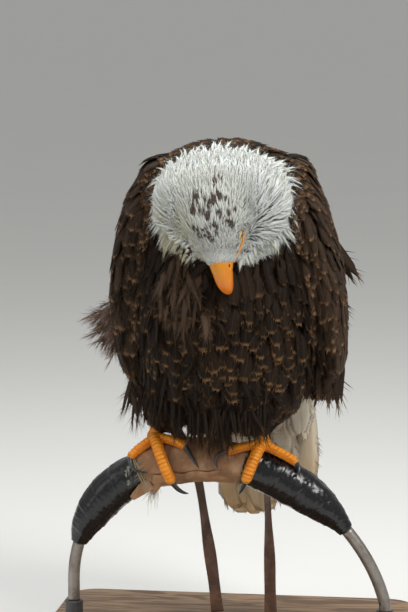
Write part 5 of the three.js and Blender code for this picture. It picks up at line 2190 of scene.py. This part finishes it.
    def trunk(self) -> None:
        """Breast, belly, flanks and mantle: round feathers in rows, longer downward."""
        rng = np.random.default_rng(13)
        shells = {"Coat_breast": Shell(), "Coat_mantle": Shell()}
        points, t, angle = self.coat.sown("trunk", 13.5, 17.0, (-0.85, 1.8), rng, 0.16, 7)
        over = self.form.over(points, "head")
        wing = np.minimum(*(self.form.over(points, "wing_" + side) for _, side in SIDES))
        clear = (over > 40) | ((over > 16) & (above_perch(points) < 252))
        points, t, angle, wing = kept(clear, points, t, angle, wing)
        lay = self.coat.spread(points, t, angle, rng,
                               length=lambda t: 42 + 9 * smooth(t, 0.0, 0.9),
                               half=lambda t: 9.6 + 1.6 * smooth(t, 0.0, 0.8), low=0.75,
                               high=0.5, swing=7, tip=(0.0, 1.0))
        lay.high = lay.high + rng.uniform(-1.0, 2.0, len(t)) * MM
        lay.clump(46.0, 70, 12.0, 0.12, 2.5)
        lay.high = lay.high - 9 * MM * (1 - smooth(wing, 0.0, 17.0)) * (points[:, 1] < 0)
        lay.high = lay.high - 8 * MM * self.near_neck(points)
        lay.shade = np.clip(lay.shade * 0.6 + 0.2 + 0.35 * lumps(points / MM, 60, 75), 0, 1)
        belly = smooth(t, 0.25, 0.5) * smooth(-points[:, 1], -0.02, 0.04)
        lay.tip = np.clip(lay.tip * (0.25 + 0.75 * belly) + 0.25 * belly, 0, 1)
        nape = self.coat.sown("neck", 11.0, 13.0, (-0.9, 0.60), rng, 0.2, 9)
        bare = (self.form.over(nape[0], "head") > 45) & (
            (nape[0][:, 1] > -0.03) | (above_perch(nape[0]) > 350))
        scruff = self.coat.spread(*kept(bare, *nape), rng,
                                  length=lambda t: 40 + 0 * t, half=lambda t: 8.0 + 0 * t,
                                  low=0.5, high=0.3, swing=8, tip=(0.2, 0.7))
        self.coat.mesh(shells["Coat_mantle"], scruff, ROUND, rng, follow=0.6, rise=0.35,
                       cling=0.85, curl=0.001)
        front = points[:, 1] < 0.03
        self.breast(shells["Coat_breast"])
        self.throat(shells["Coat_mantle"])
        self.wisps(shells["Coat_mantle"])
        for name, mask in (("Coat_breast", front), ("Coat_mantle", ~front)):
            self.coat.mesh(shells[name], lay.keep(mask), ROUND, rng, follow=0.6, rise=0.4,
                           cling=0.75, curl=0.001, roll=0.13)
            # The breast's shell wears the darker brown, which is partly painted shade.
            shells[name].build(name, self.deep if name == "Coat_breast" else self.brown)

    def near_neck(self, points: Array) -> Array:
        """How close points in front are to the hood, from 0 to 1."""
        return (1 - smooth(self.form.over(points, "neck"), 2.0, 24.0)) * (points[:, 1] < 0)

    def throat(self, shell: Shell) -> None:
        """Deep-rooted feathers that fill the throat under the hood's lower edge."""
        rng = np.random.default_rng(29)
        x, z = np.meshgrid(np.linspace(-88, 94, 22), (264.0, 254.0, 244.0))
        x = x.ravel() + rng.uniform(-3, 3, x.size)
        points = np.stack([x, np.full(x.size, -66.0), z.ravel() + PERCH_LEVEL], -1) * MM
        points = self.form.settle(points, np.zeros(len(points)), 8)
        points, x = kept(self.form.over(points, "head") > 14, points, x)
        lay = self.coat.spread(points, 0.1 + 0 * x, 4.0 + x / 100, rng,
                               length=lambda t: 47 + 0 * t, half=lambda t: 9.0 + 0 * t,
                               low=0.6, high=-2.5, swing=6, tip=(0.0, 0.4))
        lay.high = lay.high - 7 * MM * self.near_neck(points)
        lay.low = lay.low + 3 * MM * self.near_neck(points)
        self.coat.mesh(shell, lay, ROUND, rng, follow=0.4, rise=0.45, cling=0.7,
                       lean=np.array([0.0, -0.1, -1.0]))

    def wisps(self, shell: Shell) -> None:
        """Thin loose plumes that hang from the belly's lower edge over the toes."""
        rng = np.random.default_rng(31)
        n = 90
        x = rng.uniform(-104, 60, n)
        edge = np.sqrt(np.clip(1 - ((x + 5) / 112) ** 2, 0.05, 1))
        roots = np.stack([x, 14 - 82 * edge, PERCH_LEVEL + 82 - 26 * edge
                          + rng.uniform(-8, 12, n)], -1) * MM
        roots = self.form.settle(roots, np.full(n, -0.001), 5)
        _, out, _, _ = self.form.read(roots)
        reach = (rng.uniform(30, 50, n) + 14 * np.exp(-((x + 8) / 30) ** 2)) * MM
        way = unit(np.stack([rng.normal(0, 0.16, n), np.full(n, 0.12), np.full(n, -1.0)], -1)
                   + 0.12 * out)
        lay = Lay.free(roots, reach, rng.uniform(2.0, 3.6, n) * MM,
                       np.stack([0.02 + 0.96 * (x + 104) / 194, np.full(n, 0.06)], -1),
                       rng.uniform(0, 0.7, n), rng.uniform(0, 0.5, n))
        self.loose(shell, lay, DOWN, rng, way, unit(out * [1, 1, 0])[:, None])

    def down(self) -> None:
        """Pale down that stands out from the right flank, in thin branching plumes."""
        rng = np.random.default_rng(61)
        n = 46
        rise = rng.uniform(0, 1, n)
        roots = np.stack([-143 + rng.normal(0, 4, n), 20 + rng.normal(0, 10, n),
                          PERCH_LEVEL + 150 + 46 * rise], -1) * MM
        reach = rng.uniform(26, 52, n) * MM
        splay = np.radians(rng.uniform(28, 88, n) + 10 * (rise - 0.5))
        way = np.stack([-np.sin(splay), rng.normal(0, 0.15, n), -np.cos(splay)], -1)
        bend = rng.uniform(0.05, 0.35, (n, 1, 1)) * [0, 0, -1.0]
        lay = Lay.free(roots, reach, np.full(n, 7.0) * MM,
                       np.stack([rng.uniform(0.02, 0.98, n), rise * 0.9 + 0.05], -1),
                       rng.uniform(0, 1, n), rng.uniform(0, 1, n))
        shell = Shell()
        self.loose(shell, lay, TUFT, rng, way, unit(np.array([-0.4, -0.9, 0.1])), bend, 0.5)
        shell.build("Coat_down", self.fluff)

    def breast(self, shell: Shell) -> None:
        """Soft loose plumes under the bill and on the flanks, and the shaggy lower edge."""
        rng = np.random.default_rng(19)
        points, t, angle = self.coat.sown("trunk", 11.0, 12.0, (-0.4, 1.85), rng, 0.45, 6)
        points, t, angle = kept(points[:, 1] < 0.05, points, t, angle)
        x, z = points[:, 0] / MM, above_perch(points)
        patch = np.exp(-((x + 45) / 42) ** 2 - ((z - 232) / 48) ** 2)
        hem = smooth(-z, -118, -92)
        flank = smooth(np.abs(x), 88, 112) * smooth(-z, -190, -110)
        keep = rng.uniform(size=len(t)) < np.maximum.reduce([1.1 * patch, 0.95 * hem,
                                                             0.55 * flank])
        points, t, angle, patch, hem = kept(keep, points, t, angle, patch, hem)
        lay = self.coat.spread(points, t, angle, rng, length=lambda t: 44 + 0 * t,
                               half=lambda t: 6.0 + 0 * t, low=0.3, high=1.5, swing=12,
                               tip=(0.0, 0.35))
        lay.length = lay.length * (1 - 0.15 * hem)
        lay.half = lay.half * (1 - 0.35 * hem)
        lay.high = lay.high + rng.uniform(-1.0, 4.0, len(lay.roots)) * MM
        lay.high = lay.high - 9 * MM * self.near_neck(points)
        lay.clump(20.0, 80, 18.0, 0.2, 1.5)
        lay.shade = np.clip(0.85 * patch + rng.uniform(0.1, 0.7, len(lay.roots)), 0, 1)
        low = hem > 0.5
        pale = (patch > rng.uniform(0.25, 0.5, len(patch))) & ~low
        bib = Shell()
        for target, mask in ((bib, pale), (shell, ~pale & ~low)):
            self.coat.mesh(target, lay.keep(mask), DOWN, rng, follow=0.35, rise=0.4, cling=0.4,
                           curl=0.003, roll=0.3)
        bib.build("Coat_bib", self.soft)
        low = low & (points[:, 0] < 0.072)
        self.coat.mesh(shell, lay.keep(low), DOWN, rng, follow=0.2, rise=0.4, cling=0.12,
                       roll=0.3, lean=np.array([0.0, 0.25, -1.0]))

    def legs(self) -> None:
        """Loose feathers of the thighs, down to the toes."""
        rng = np.random.default_rng(14)
        shell = Shell()
        for k, name in enumerate(("leg_left", "leg_right")):
            points, t, angle = self.coat.sown(name, 8.5, 10.5, (-0.5, 1.7), rng, 0.25, 8)
            clear = (points[:, 0] < 0.082) | (above_perch(points) > 80)
            points, t, angle = kept(clear, points, t, angle)
            lay = self.coat.spread(points, t, angle, rng, length=lambda t: 36 - 14 * t,
                                   half=lambda t: 6.5 - 2.0 * t, low=0.6, high=0.5, swing=10,
                                   tip=(0.1, 0.55), cell=(0.5 * k, 0, 0.5, 1))
            lay.clump(16.0, 90 + k, 12.0, 0.15, 1.0)
            self.coat.mesh(shell, lay, BLADE, rng, follow=0.55, rise=0.35, cling=0.6)
            points, t, angle = self.coat.sown(name, 8.0, 8.0, (0.5, 1.75), rng, 0.4, 8)
            points, t, angle = kept(points[:, 0] < 0.074, points, t, angle)
            lay = self.coat.spread(points, t, angle, rng, length=lambda t: 30 - 8 * (t - 0.5),
                                   half=lambda t: 3.4 + 0 * t, low=0.4, high=0.5, swing=14,
                                   tip=(0.0, 0.3), cell=(0.5 * k, 0, 0.5, 1))
            lay.clump(11.0, 94 + k, 14.0, 0.2, 1.5)
            self.coat.mesh(shell, lay, DOWN, rng, follow=0.4, rise=0.4, cling=0.35)
        shell.build("Coat_legs", self.deep)

    def wings(self) -> None:
        """Coverts of the folded wings: narrow and long on the left, rounder on the right."""
        for s, name, row, column, half, kind in ((1, "left", 12.2, 10.0, 6.0, BLADE),
                                                 (-1, "right", 12.5, 12.0, 7.6, ROUND)):
            rng = np.random.default_rng(15 + s)
            points, t, angle = self.coat.sown("wing_" + name, row, column, (-0.95, 1.6), rng,
                                              0.25, 8)
            lay = self.coat.spread(points, t, angle, rng,
                                   length=lambda t: 42 + 34 * smooth(t, 0.2, 1.0),
                                   half=lambda t: half + 1.8 * smooth(t, 0.2, 0.9), low=1.0,
                                   high=0.6, swing=7, tip=(0.0, 1.0))
            lay.high = lay.high + rng.uniform(-0.5, 2.0, len(t)) * MM
            lay.clump(40.0, 100 + s, 9.0, 0.14, 2.0)
            # The 0.2 * s term makes the left wing lighter than the right: painted light on the side
            # the key lamp lights. The lumps give each wing its own uneven tone.
            lay.shade = np.clip(lay.shade * 0.7 + 0.20 + 0.2 * s + 0.3 * lumps(
                points / MM, 50, 105 + s), 0, 1.4)
            shell = Shell()
            end = t > 0.86
            self.coat.mesh(shell, lay.keep(~end), kind, rng, follow=0.45, rise=0.35, cling=0.5,
                           curl=0.001, roll=0.14)
            drooping = lay.keep(end & (t < 1.35))
            drooping.length = drooping.length * 0.72
            self.coat.mesh(shell, drooping, BLADE, rng, follow=0.12, rise=0.35, cling=0.1,
                           roll=0.2, lean=np.array([0.05 * s, 0.12, -1.0]))
            self.strays(shell, s)
            shell.build("Coat_wing_" + name, self.wing_brown_paler_and_lit)

    def strays(self, shell: Shell, s: int) -> None:
        """A few feathers out of place: dark points on the left wing, down on the right flank.

        Args:
            shell: what they are added to.
            s: 1 for the left wing, -1 for the right.
        """
        rng = np.random.default_rng(45 + s)
        if s > 0:
            rows = ((138, 50, 284, 70, 8.5, 42), (141, 56, 276, 60, 7.0, 34),
                    (149, 54, 232, 64, 8.0, 17), (150, 58, 216, 60, 7.0, 13),
                    (112, 30, 352, 44, 6.0, 30), (150, 36, 124, 76, 8.5, 4),
                    (143, 30, 120, 70, 9.0, 0), (134, 26, 120, 60, 9.0, -5),
                    (155, 50, 134, 80, 8.0, 3))
        else:
            rows = [(-152 + rng.normal(0, 4), 34 + rng.normal(0, 8),
                     172 + rng.uniform(-18, 16), rng.uniform(30, 50), 7.0,
                     rng.uniform(18, 62)) for _ in range(16)]
            rows += [(-132 + rng.normal(0, 5), 46 + rng.normal(0, 10),
                      66 + rng.uniform(-14, 26), rng.uniform(38, 62), 4.5,
                      rng.uniform(-16, 22)) for _ in range(12)]
        rows = np.asarray(rows, float)
        n = len(rows)
        roots = (rows[:, :3] + [0, 0, PERCH_LEVEL]) * MM
        splay = np.radians(rows[:, 5])
        way = np.stack([s * np.sin(splay), 0.05 * np.ones(n), -np.cos(splay)], -1)
        patch = np.stack([rng.uniform(0.02, 0.98, n), rng.uniform(0.02, 0.98, n)], -1)
        pale = rng.uniform(0.5, 1.0, n) if s < 0 else rng.uniform(0.1, 0.6, n)
        lay = Lay.free(roots, rows[:, 3] * MM, rows[:, 4] * MM, patch, pale,
                       rng.uniform(0.3, 0.9, n))
        self.loose(shell, lay, SPIKE if s > 0 else DOWN, rng, way,
                   unit(np.array([0.5 * s, -0.86, 0.1])), np.array([0, 0, -0.12]))

    def quills(self) -> None:
        """Secondaries and primaries of each folded wing, long and stiff, in stacked rows."""
        for s, name in SIDES:
            rng = np.random.default_rng(25 + s)
            points, t, angle = self.coat.sown("quills_" + name, 30.0, 17.0, (-0.6, 0.75), rng,
                                              0.1, 12)
            _, out, _, _ = self.form.read(points)
            hind = (out[:, 1] > -0.2) | (above_perch(points) > 165)
            points, t, angle = kept(hind, points, t, angle)
            lay = self.coat.spread(points, t, angle, rng,
                                   length=lambda t: 150 - 62 * smooth(t, 0.0, 0.7),
                                   half=lambda t: 15.0 - 4 * smooth(t, 0.2, 0.7), low=0.4,
                                   high=1.0, swing=2, tip=(0.1, 0.5))
            spine, normal = self.coat.spines(lay, QUILL, 0.5, 0.9, 0.3, np.zeros(len(t)))
            rise = above_perch(spine)
            behind = 148 + (50 - rise) / 8 - 45 * smooth(rise, 30.0, 110.0)
            spine[..., 1] = np.maximum(spine[..., 1], behind * MM)
            shell = Shell()
            self.coat.mesh(shell, lay, QUILL, rng, roll=0.05, laid=(spine, normal))
            piece = shell.build("Quills_" + name, self.flight)
            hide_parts("flight_feathers_" + name)

    def tail_fan(self) -> None:
        """Twelve broad tail feathers stacked in a fan, and the white coverts at their base."""
        rng = np.random.default_rng(35)
        limb = self.form.limb("tail")
        shell = Shell()
        place = np.linspace(-1, 1, 12)
        centre, _, side, cross, _ = limb.at(np.full(12, 0.22))
        order = (1 - np.abs(place)) * 7 - 3
        points = centre + side * (place * 40 * MM)[:, None] + cross * (order * MM)[:, None]
        lay = Lay.free(points, rng.uniform(186, 198, 12) * MM, np.full(12, 22 * MM),
                       np.stack([0.1 + 0.8 * (place + 1) / 2, np.full(12, 0.3)], -1),
                       rng.uniform(0.3, 1.0, 12), rng.uniform(0.5, 1.0, 12),
                       rng.uniform(0.0, 0.5, 12))
        self.fan(shell, lay, SQUARE, rng, limb, place, order)
        piece = shell.build("Tail_feathers", self.tail)
        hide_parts("tail")
        points, t, angle = self.coat.sown("tail", 12.0, 14.0, (-0.6, 0.50), rng, 0.3, 12)
        crowd = self.coat.spread(points, t, angle, rng,
                                 length=lambda t: 60 + 14 * t, half=lambda t: 12 - 1 * t,
                                 low=0.5, high=0.5, swing=9, tip=(0.0, 0.25),
                                 shade=(0.7, 1.0))
        crowd.mark = rng.uniform(0.0, 0.12, len(t))
        coverts = Shell()
        self.coat.mesh(coverts, crowd, BLADE, rng, follow=0.5, rise=0.3, cling=0.8)
        self.side_coverts(coverts, rng)
        coverts.build("Tail_coverts", self.tail)

    def side_coverts(self, shell: Shell, rng: np.random.Generator) -> None:
        """White coverts that hang over the tail's left edge, beside the left foot."""
        n = 30
        x = np.linspace(58, 106, n) + rng.normal(0, 2, n)
        root = 80 + rng.uniform(-22, 10, n)
        roots = np.stack([x, 100 + rng.uniform(-5, 9, n), PERCH_LEVEL + root], -1) * MM
        hem = -20 + 22 * ((x - 84) / 28) ** 2
        reach = (root - hem - rng.uniform(0, 16, n)) * MM
        splay = np.radians((x - 84) * 0.05 + rng.normal(0, 2.0, n))
        way = np.stack([np.sin(splay), 0.10 + 0 * x, -np.cos(splay)], -1)
        lay = Lay.free(roots, reach, rng.uniform(12, 15, n) * MM,
                       np.stack([rng.uniform(0.02, 0.98, n), np.full(n, 0.15)], -1),
                       rng.uniform(0.75, 1.0, n), rng.uniform(0.0, 0.25, n))
        self.loose(shell, lay, BLADE, rng, way, unit(np.array([0.25, -0.96, 0.0])),
                   np.array([0, 0.10, 0]))

    def fan(self, shell: Shell, lay: Lay, vane: Vane, rng: np.random.Generator, limb: Limb,
            place: Array, order: Array) -> None:
        """Lays feathers side by side along a limb's own line, spreading toward its end.

        Feather k runs along centre(t) + side(t) p(k) w(t) + cross(t) o(k), with p its place
        across the fan, w the fan's half-width and o its order in the stack.
        """
        s = np.asarray(vane.places)
        t = 0.08 + 1.05 * s
        centre, tangent, side, cross, half = limb.at(np.minimum(t, 1.0))
        over = np.maximum(t - 1.0, 0) * 0.34
        centre = centre + tangent * over[:, None]
        spread = 0.66 * half[:, 0] * (1.0 - 0.02 * s)
        fine = rng.normal(0, 0.6, (len(place), 1)) * MM
        reach = rng.uniform(0.93, 1.02, len(place))
        shift = place[:, None] * spread + (0.5 + 0.5 * place[:, None]) * 32 * MM * (1 - s) ** 0.8
        spine = (centre[None] + side[None] * shift[..., None]
                 + cross[None] * (order[:, None] * MM * (1 - 0.5 * s) + fine)[..., None])
        spine = spine[:, :1] + (spine - spine[:, :1]) * reach[:, None, None]
        normal = np.broadcast_to(cross[None], spine.shape)
        self.coat.mesh(shell, lay, vane, rng, roll=0.03, laid=(spine, normal))

    def loose(self, shell: Shell, lay: Lay, vane: Vane, rng: np.random.Generator, way: Array,
              out: Array, bend: float | Array = 0.0, roll: float = 0.03) -> None:
        """Meshes feathers that hang free, with straight shafts bent by a square law.

        Args:
            shell: what they are added to.
            lay: the crowd.
            vane: the kind of feather.
            rng: where chance comes from.
            way: the direction of each.
            out: the direction that they face.
            bend: how far their tips are carried aside, as a share of the length.
            roll: how far they roll about their shafts, in radians.
        """
        places = np.asarray(vane.places)
        spine = lay.roots[:, None] + way[:, None] * (lay.length[:, None] * places)[..., None]
        spine = spine + bend * lay.length[:, None, None] * (places**2)[:, None]
        normal = np.broadcast_to(out, spine.shape)
        self.coat.mesh(shell, lay, vane, rng, roll=roll, laid=(spine, normal))

    def build(self) -> None:
        """Builds every tract."""
        for tract in (self.trunk, self.down, self.legs, self.wings, self.quills,
                      self.tail_fan, self.hood, self.crown):
            tract()


# ---------------------------------------------------------------- perch and stand


@dataclass
class Perch:
    """A steel bow, padded and wrapped: leather on its crown and black tape on both sides.

    Attributes:
        radius: the steel bar's, in metres.
        bore: radius of the hole through the coverings, in metres.
        board: height of the stand's board, in mm.
        rod: height of its rods, which the bars end over, in mm.
        leather: finish of the hide.
        twine: finish of loose thread.
        tape: finish of the tape.
        steel: finish of the bar.
    """

    radius: float = 0.0085
    bore: float = 0.0092
    board: float = 18.0
    rod: float = 36.0
    leather: LeatherFinish = field(default_factory=lambda: LeatherFinish(
        "Perch_hide", "perch_leather", base=(0.31, 0.155, 0.070), worn=(0.48, 0.28, 0.15),
        stain=(0.13, 0.075, 0.05)))
    twine: LeatherFinish = field(default_factory=lambda: LeatherFinish(
        "Frayed_thread", "perch_leather", base=(0.42, 0.33, 0.21), worn=(0.60, 0.50, 0.34),
        stain=(0.22, 0.18, 0.10), grain=2600.0))
    tape: TapeFinish = field(default_factory=lambda: TapeFinish("Perch_wrap", "perch_tape"))
    steel: MetalFinish = field(default_factory=lambda: MetalFinish("Perch_steel_bar",
                                                                   "perch_steel"))

    def sleeve(self, name: str, node: str, cover: Covering, finish: Finish, wraps: float,
               step: float, dust: float = 0.0) -> None:
        """One covering of the bow, with lapped wraps and wrinkles.

        Its radius is the padding's, plus a saw-tooth that climbs over each wrap and falls at
        its lapped edge, plus soft lumps.

        Args:
            name: the piece's name.
            node: the node that it replaces.
            cover: where it lies and how thick it is.
            finish: the finish it wears.
            wraps: how often it goes round, or 0 for a sheet with one wavy seam.
            step: height of the lapped edge, in mm.
            dust: how dusty its start is, from 0 to 1.
        """
        t = np.linspace(0, 1, 150)
        path = bow_point(cover.start + cover.length * t)
        _, side, cross = frames(path, (0, 1, 0))
        angle = np.linspace(0, TURN, 73)
        radius = along(cover.radii, t)[:, None] * MM
        ring = (side[:, None] * np.cos(angle)[None, :, None]
                + cross[:, None] * np.sin(angle)[None, :, None])
        places = path[:, None] + ring * radius[..., None]
        seam = t[:, None] * wraps if wraps else 0.614 + 0.03 * np.sin(t[:, None] * 5.0 + 0.8)
        phase = angle[None] / TURN + seam
        lapped = (phase % 1.0) * (1 - smooth(phase % 1.0, 0.95, 1.0)) * step * MM
        bumps = lumps(places / MM, 26.0, 7) * 0.9 + lumps(places / MM, 8.0, 8) * 0.3
        if not wraps:
            folds = np.sin(places[..., 0] / MM * 0.42 + 3 * lumps(places / MM, 40.0, 9))
            bumps = bumps + folds * 0.45 * smooth(lumps(places / MM, 30.0, 10), -0.3, 0.6)
        radius = radius + lapped + bumps * MM - 0.9 * MM
        points = path[:, None] + ring * radius[..., None]
        first, last = (path[k] + ring[k:][:1] * self.bore for k in (0, -1))
        points = capped(np.concatenate([first, points, last]), path[0], path[-1])
        worn = np.concatenate([[0, 0], dust * smooth(t, 0.30, 0.08), [0, 0]])
        shell = Shell()
        shell.add(points, grid_faces(*points.shape[:2]),
                  Worn=np.broadcast_to(worn[:, None, None], (*points.shape[:2], 1)))
        piece = shell.build(name, finish, weld=True)
        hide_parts(node)

    def flaps(self) -> None:
        """Loose ends of the hide: a lapped strip over the seam and a flap that hangs down."""
        shell = Shell()
        t = np.linspace(0, 1, 40)
        lap = on_bow(119.5 - 27 * t, 116 + 16 * np.sin(t * 2.6) - 14 * t
                     + 3 * np.sin(t * 17.0), HIDE.radius(119.5 - 27 * t) + 1.5)
        across = np.cross(np.gradient(lap, axis=0), lap - bow_point(119.5 - 27 * t))
        sweep(shell, lap, np.stack([8.5 - 6 * t**2, 0.8 + 0 * t], -1) * MM, across, 20, 0.0008)
        t = np.linspace(0, 1, 26)
        start = on_bow(np.array([121.5]), np.array([128.0]), np.array([29.5]))[0]
        hang = start + np.stack([-26 * t, -3 * np.sin(3.0 * t), -17 * t - 5 * t**2], -1) * MM
        sweep(shell, hang, np.stack([9.5 - 5.5 * t**1.5, 1.1 + 0 * t], -1) * MM,
              (0.45, 0.1, -0.9), 20, 0.0008)
        hang = start + np.stack([-8 * t + 12, 1 + 3 * t, -16 * t**1.2], -1) * MM
        sweep(shell, hang, np.stack([6.0 - 4 * t**1.5, 0.9 + 0 * t], -1) * MM,
              (0.9, 0.2, 0.1), 20, 0.0008)
        shell.build("Perch_flaps", self.leather, weld=True)

    def threads(self) -> None:
        """Frayed thread along both edges of the hide, and twine wound at its right end."""
        rng = np.random.default_rng(77)
        shell = Shell()
        t = np.linspace(0, 1, 9)
        for k in range(150):
            edge = k % 3 == 0
            degrees = (86 if edge else 122) + rng.normal(0, 1.1)
            turn = rng.uniform(20, 200) if edge else rng.uniform(40, 215)
            root = on_bow(np.array([degrees]), np.array([turn]),
                          HIDE.radius(np.array([degrees])) + 0.4)[0]
            reach = rng.uniform(5, 15) * (1 + 0.7 * (turn > 130))
            way = unit(root - bow_point(degrees)) * 0.6 + np.array(
                [(0.6 if edge else -0.6), -0.2, -0.7]) + rng.normal(0, 0.35, 3)
            bend = rng.normal(0, 0.5, 3)
            path = root + (unit(way) * t[:, None] + bend * (t[:, None] ** 2) * 0.5) * reach * MM
            path[:, 2] -= 0.3 * reach * t**2 * MM
            sweep(shell, path, np.stack([0.42 - 0.3 * t, 0.34 - 0.24 * t], -1) * MM,
                  (0.3, 1, 0.2), 5, 0.0002)
        turn = np.linspace(0, 360 * 3.4, 220)
        wind = on_bow(122.9 + 1.5 * turn / turn[-1] + 0.25 * np.sin(turn / 37.0), turn + 60,
                      30.0 + 0.5 * np.sin(turn / 23.0))
        sweep(shell, wind, np.full(2, 0.0009), (1, 0.2, 0), 8, 0.0005)
        shell.build("Perch_threads", self.twine, weld=True)

    def bar(self, name: str, node: str, degrees: Array) -> None:
        """A round steel bar along the bow, then straight down to just over the stand's rod."""
        arc = bow_point(degrees)
        foot = np.array([arc[-1][0], 0, (self.board + self.rod + GAP) * MM])
        drop = arc[-1] + (foot - arc[-1]) * np.linspace(0.06, 1, 12)[:, None]
        shell = Shell()
        sweep(shell, np.concatenate([arc, drop]), np.full(2, self.radius), (0, 1, 0), 40,
              0.0005)
        piece = shell.build(name, self.steel, weld=True)
        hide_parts(node)

    def build(self) -> None:
        """Builds the coverings and the bars."""
        self.sleeve("Perch_leather_sleeve", "perch_leather", HIDE, self.leather, 0, 2.4)
        self.sleeve("Perch_tape_sleeve_left", "perch_tape_left", TAPE_LEFT, self.tape, 5, 0.9)
        self.sleeve("Perch_tape_sleeve_right", "perch_tape_right", TAPE_RIGHT, self.tape, 5,
                    0.9, 0.45)
        self.flaps()
        self.threads()
        self.bar("Perch_bar_left", "perch_steel_left", np.linspace(43.3, 14, 24))
        self.bar("Perch_bar_right", "perch_steel_right", np.linspace(164.7, 180, 16))


@dataclass
class Stand:
    """The display stand keeps its CAD shape and gets wood and painted metal."""

    wood: WoodFinish = field(default_factory=lambda: WoodFinish("Stand_board", "stand_wood"))
    metal: MetalFinish = field(default_factory=lambda: MetalFinish(
        "Stand_fitting", "stand_metal", base=(0.09, 0.09, 0.095), dull=(0.055, 0.055, 0.06),
        metallic=0.6, rough=0.4))

    def build(self) -> None:
        """Dresses the stand's nodes."""
        for name, finish in (("stand_base", self.wood), ("stand_rod_left", self.metal),
                             ("stand_rod_right", self.metal)):
            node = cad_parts[name]
            node.data.materials.clear()
            node.data.materials.append(finish.material())
            LOG.info("%s dressed", name)


# ---------------------------------------------------------------- studio


@dataclass
class Studio:
    """Floor, soft lights and the camera."""

    target: tuple = (-0.030, 0.0, 0.4825)
    azimuth: float = 8.0
    elevation: float = 8.0
    distance: float = 3.6
    lens: float = 151.3

    def camera(self) -> None:
        """Puts the camera on its line of sight; the picture's long side is its height."""
        a, e = math.radians(self.azimuth), math.radians(self.elevation)
        way = Vector((math.sin(a) * math.cos(e), -math.cos(a) * math.cos(e), math.sin(e)))
        data = bpy.data.cameras.new("Camera")
        data.sensor_fit, data.sensor_height, data.lens = "VERTICAL", 36.0, self.lens
        data.clip_start, data.clip_end = 0.05, 200.0
        camera = placed("Camera", data)
        camera.location = Vector(self.target) + way * self.distance
        camera.rotation_euler = (-way).to_track_quat("-Z", "Y").to_euler()
        bpy.context.scene.camera = camera

    def lamp(self, name: str, place: tuple, size: float, power: float, tint: tuple) -> None:
        """A square soft light that faces the bird."""
        data = bpy.data.lights.new(name, "AREA")
        data.shape, data.size, data.energy, data.color = "SQUARE", size, power, tint
        lamp = placed(name, data)
        lamp.location = place
        way = Vector((0, 0, 0.45)) - Vector(place)
        lamp.rotation_euler = way.to_track_quat("-Z", "Y").to_euler()

    def floor(self) -> None:
        """A wide flat floor just under the stand."""
        x, y = np.meshgrid(np.linspace(-70, 70, 9), np.linspace(-70, 70, 9))
        shell = Shell()
        shell.add(np.stack([x, y, 0 * x - 0.0002], -1), grid_faces(9, 9))
        floor = placed("Floor", shell.mesh("Floor"), FloorFinish("Studio_floor", "stand_wood"))

    def build(self) -> None:
        """Sets the floor, the lamps, the sky's soft fill and the camera."""
        self.camera()
        self.lamp("Key_light", (1.7, -1.3, 2.5), 1.1, 52.0, (1.0, 0.98, 0.95))
        self.lamp("Top_light", (-0.2, 0.2, 2.6), 1.5, 37.0, (0.99, 1.0, 1.0))
        self.lamp("Fill_light", (-2.2, -1.6, 1.4), 1.8, 9.0, (1.0, 0.98, 0.96))
        world = bpy.data.worlds.new("Studio")
        bpy.context.scene.world = world
        world.use_nodes = True
        background = world.node_tree.nodes["Background"]
        background.inputs[0].default_value = (0.90, 0.90, 0.89, 1.0)
        background.inputs[1].default_value = 0.46
        bpy.context.scene.view_settings.view_transform = "Standard"
        self.floor()


def main() -> None:
    """Builds the studio, the perch and the bird, in that order."""
    logging.basicConfig(level=logging.INFO, format="%(name)s: %(message)s")
    Studio().build()
    Stand().build()
    Perch().build()
    form = Form()
    LOG.info("form ready")
    feet = Feet()
    Skin(form, feet).build()
    feet.build()
    Head(form).build()
    Plumage(form).build()


if __name__ == "__main__":
    main()
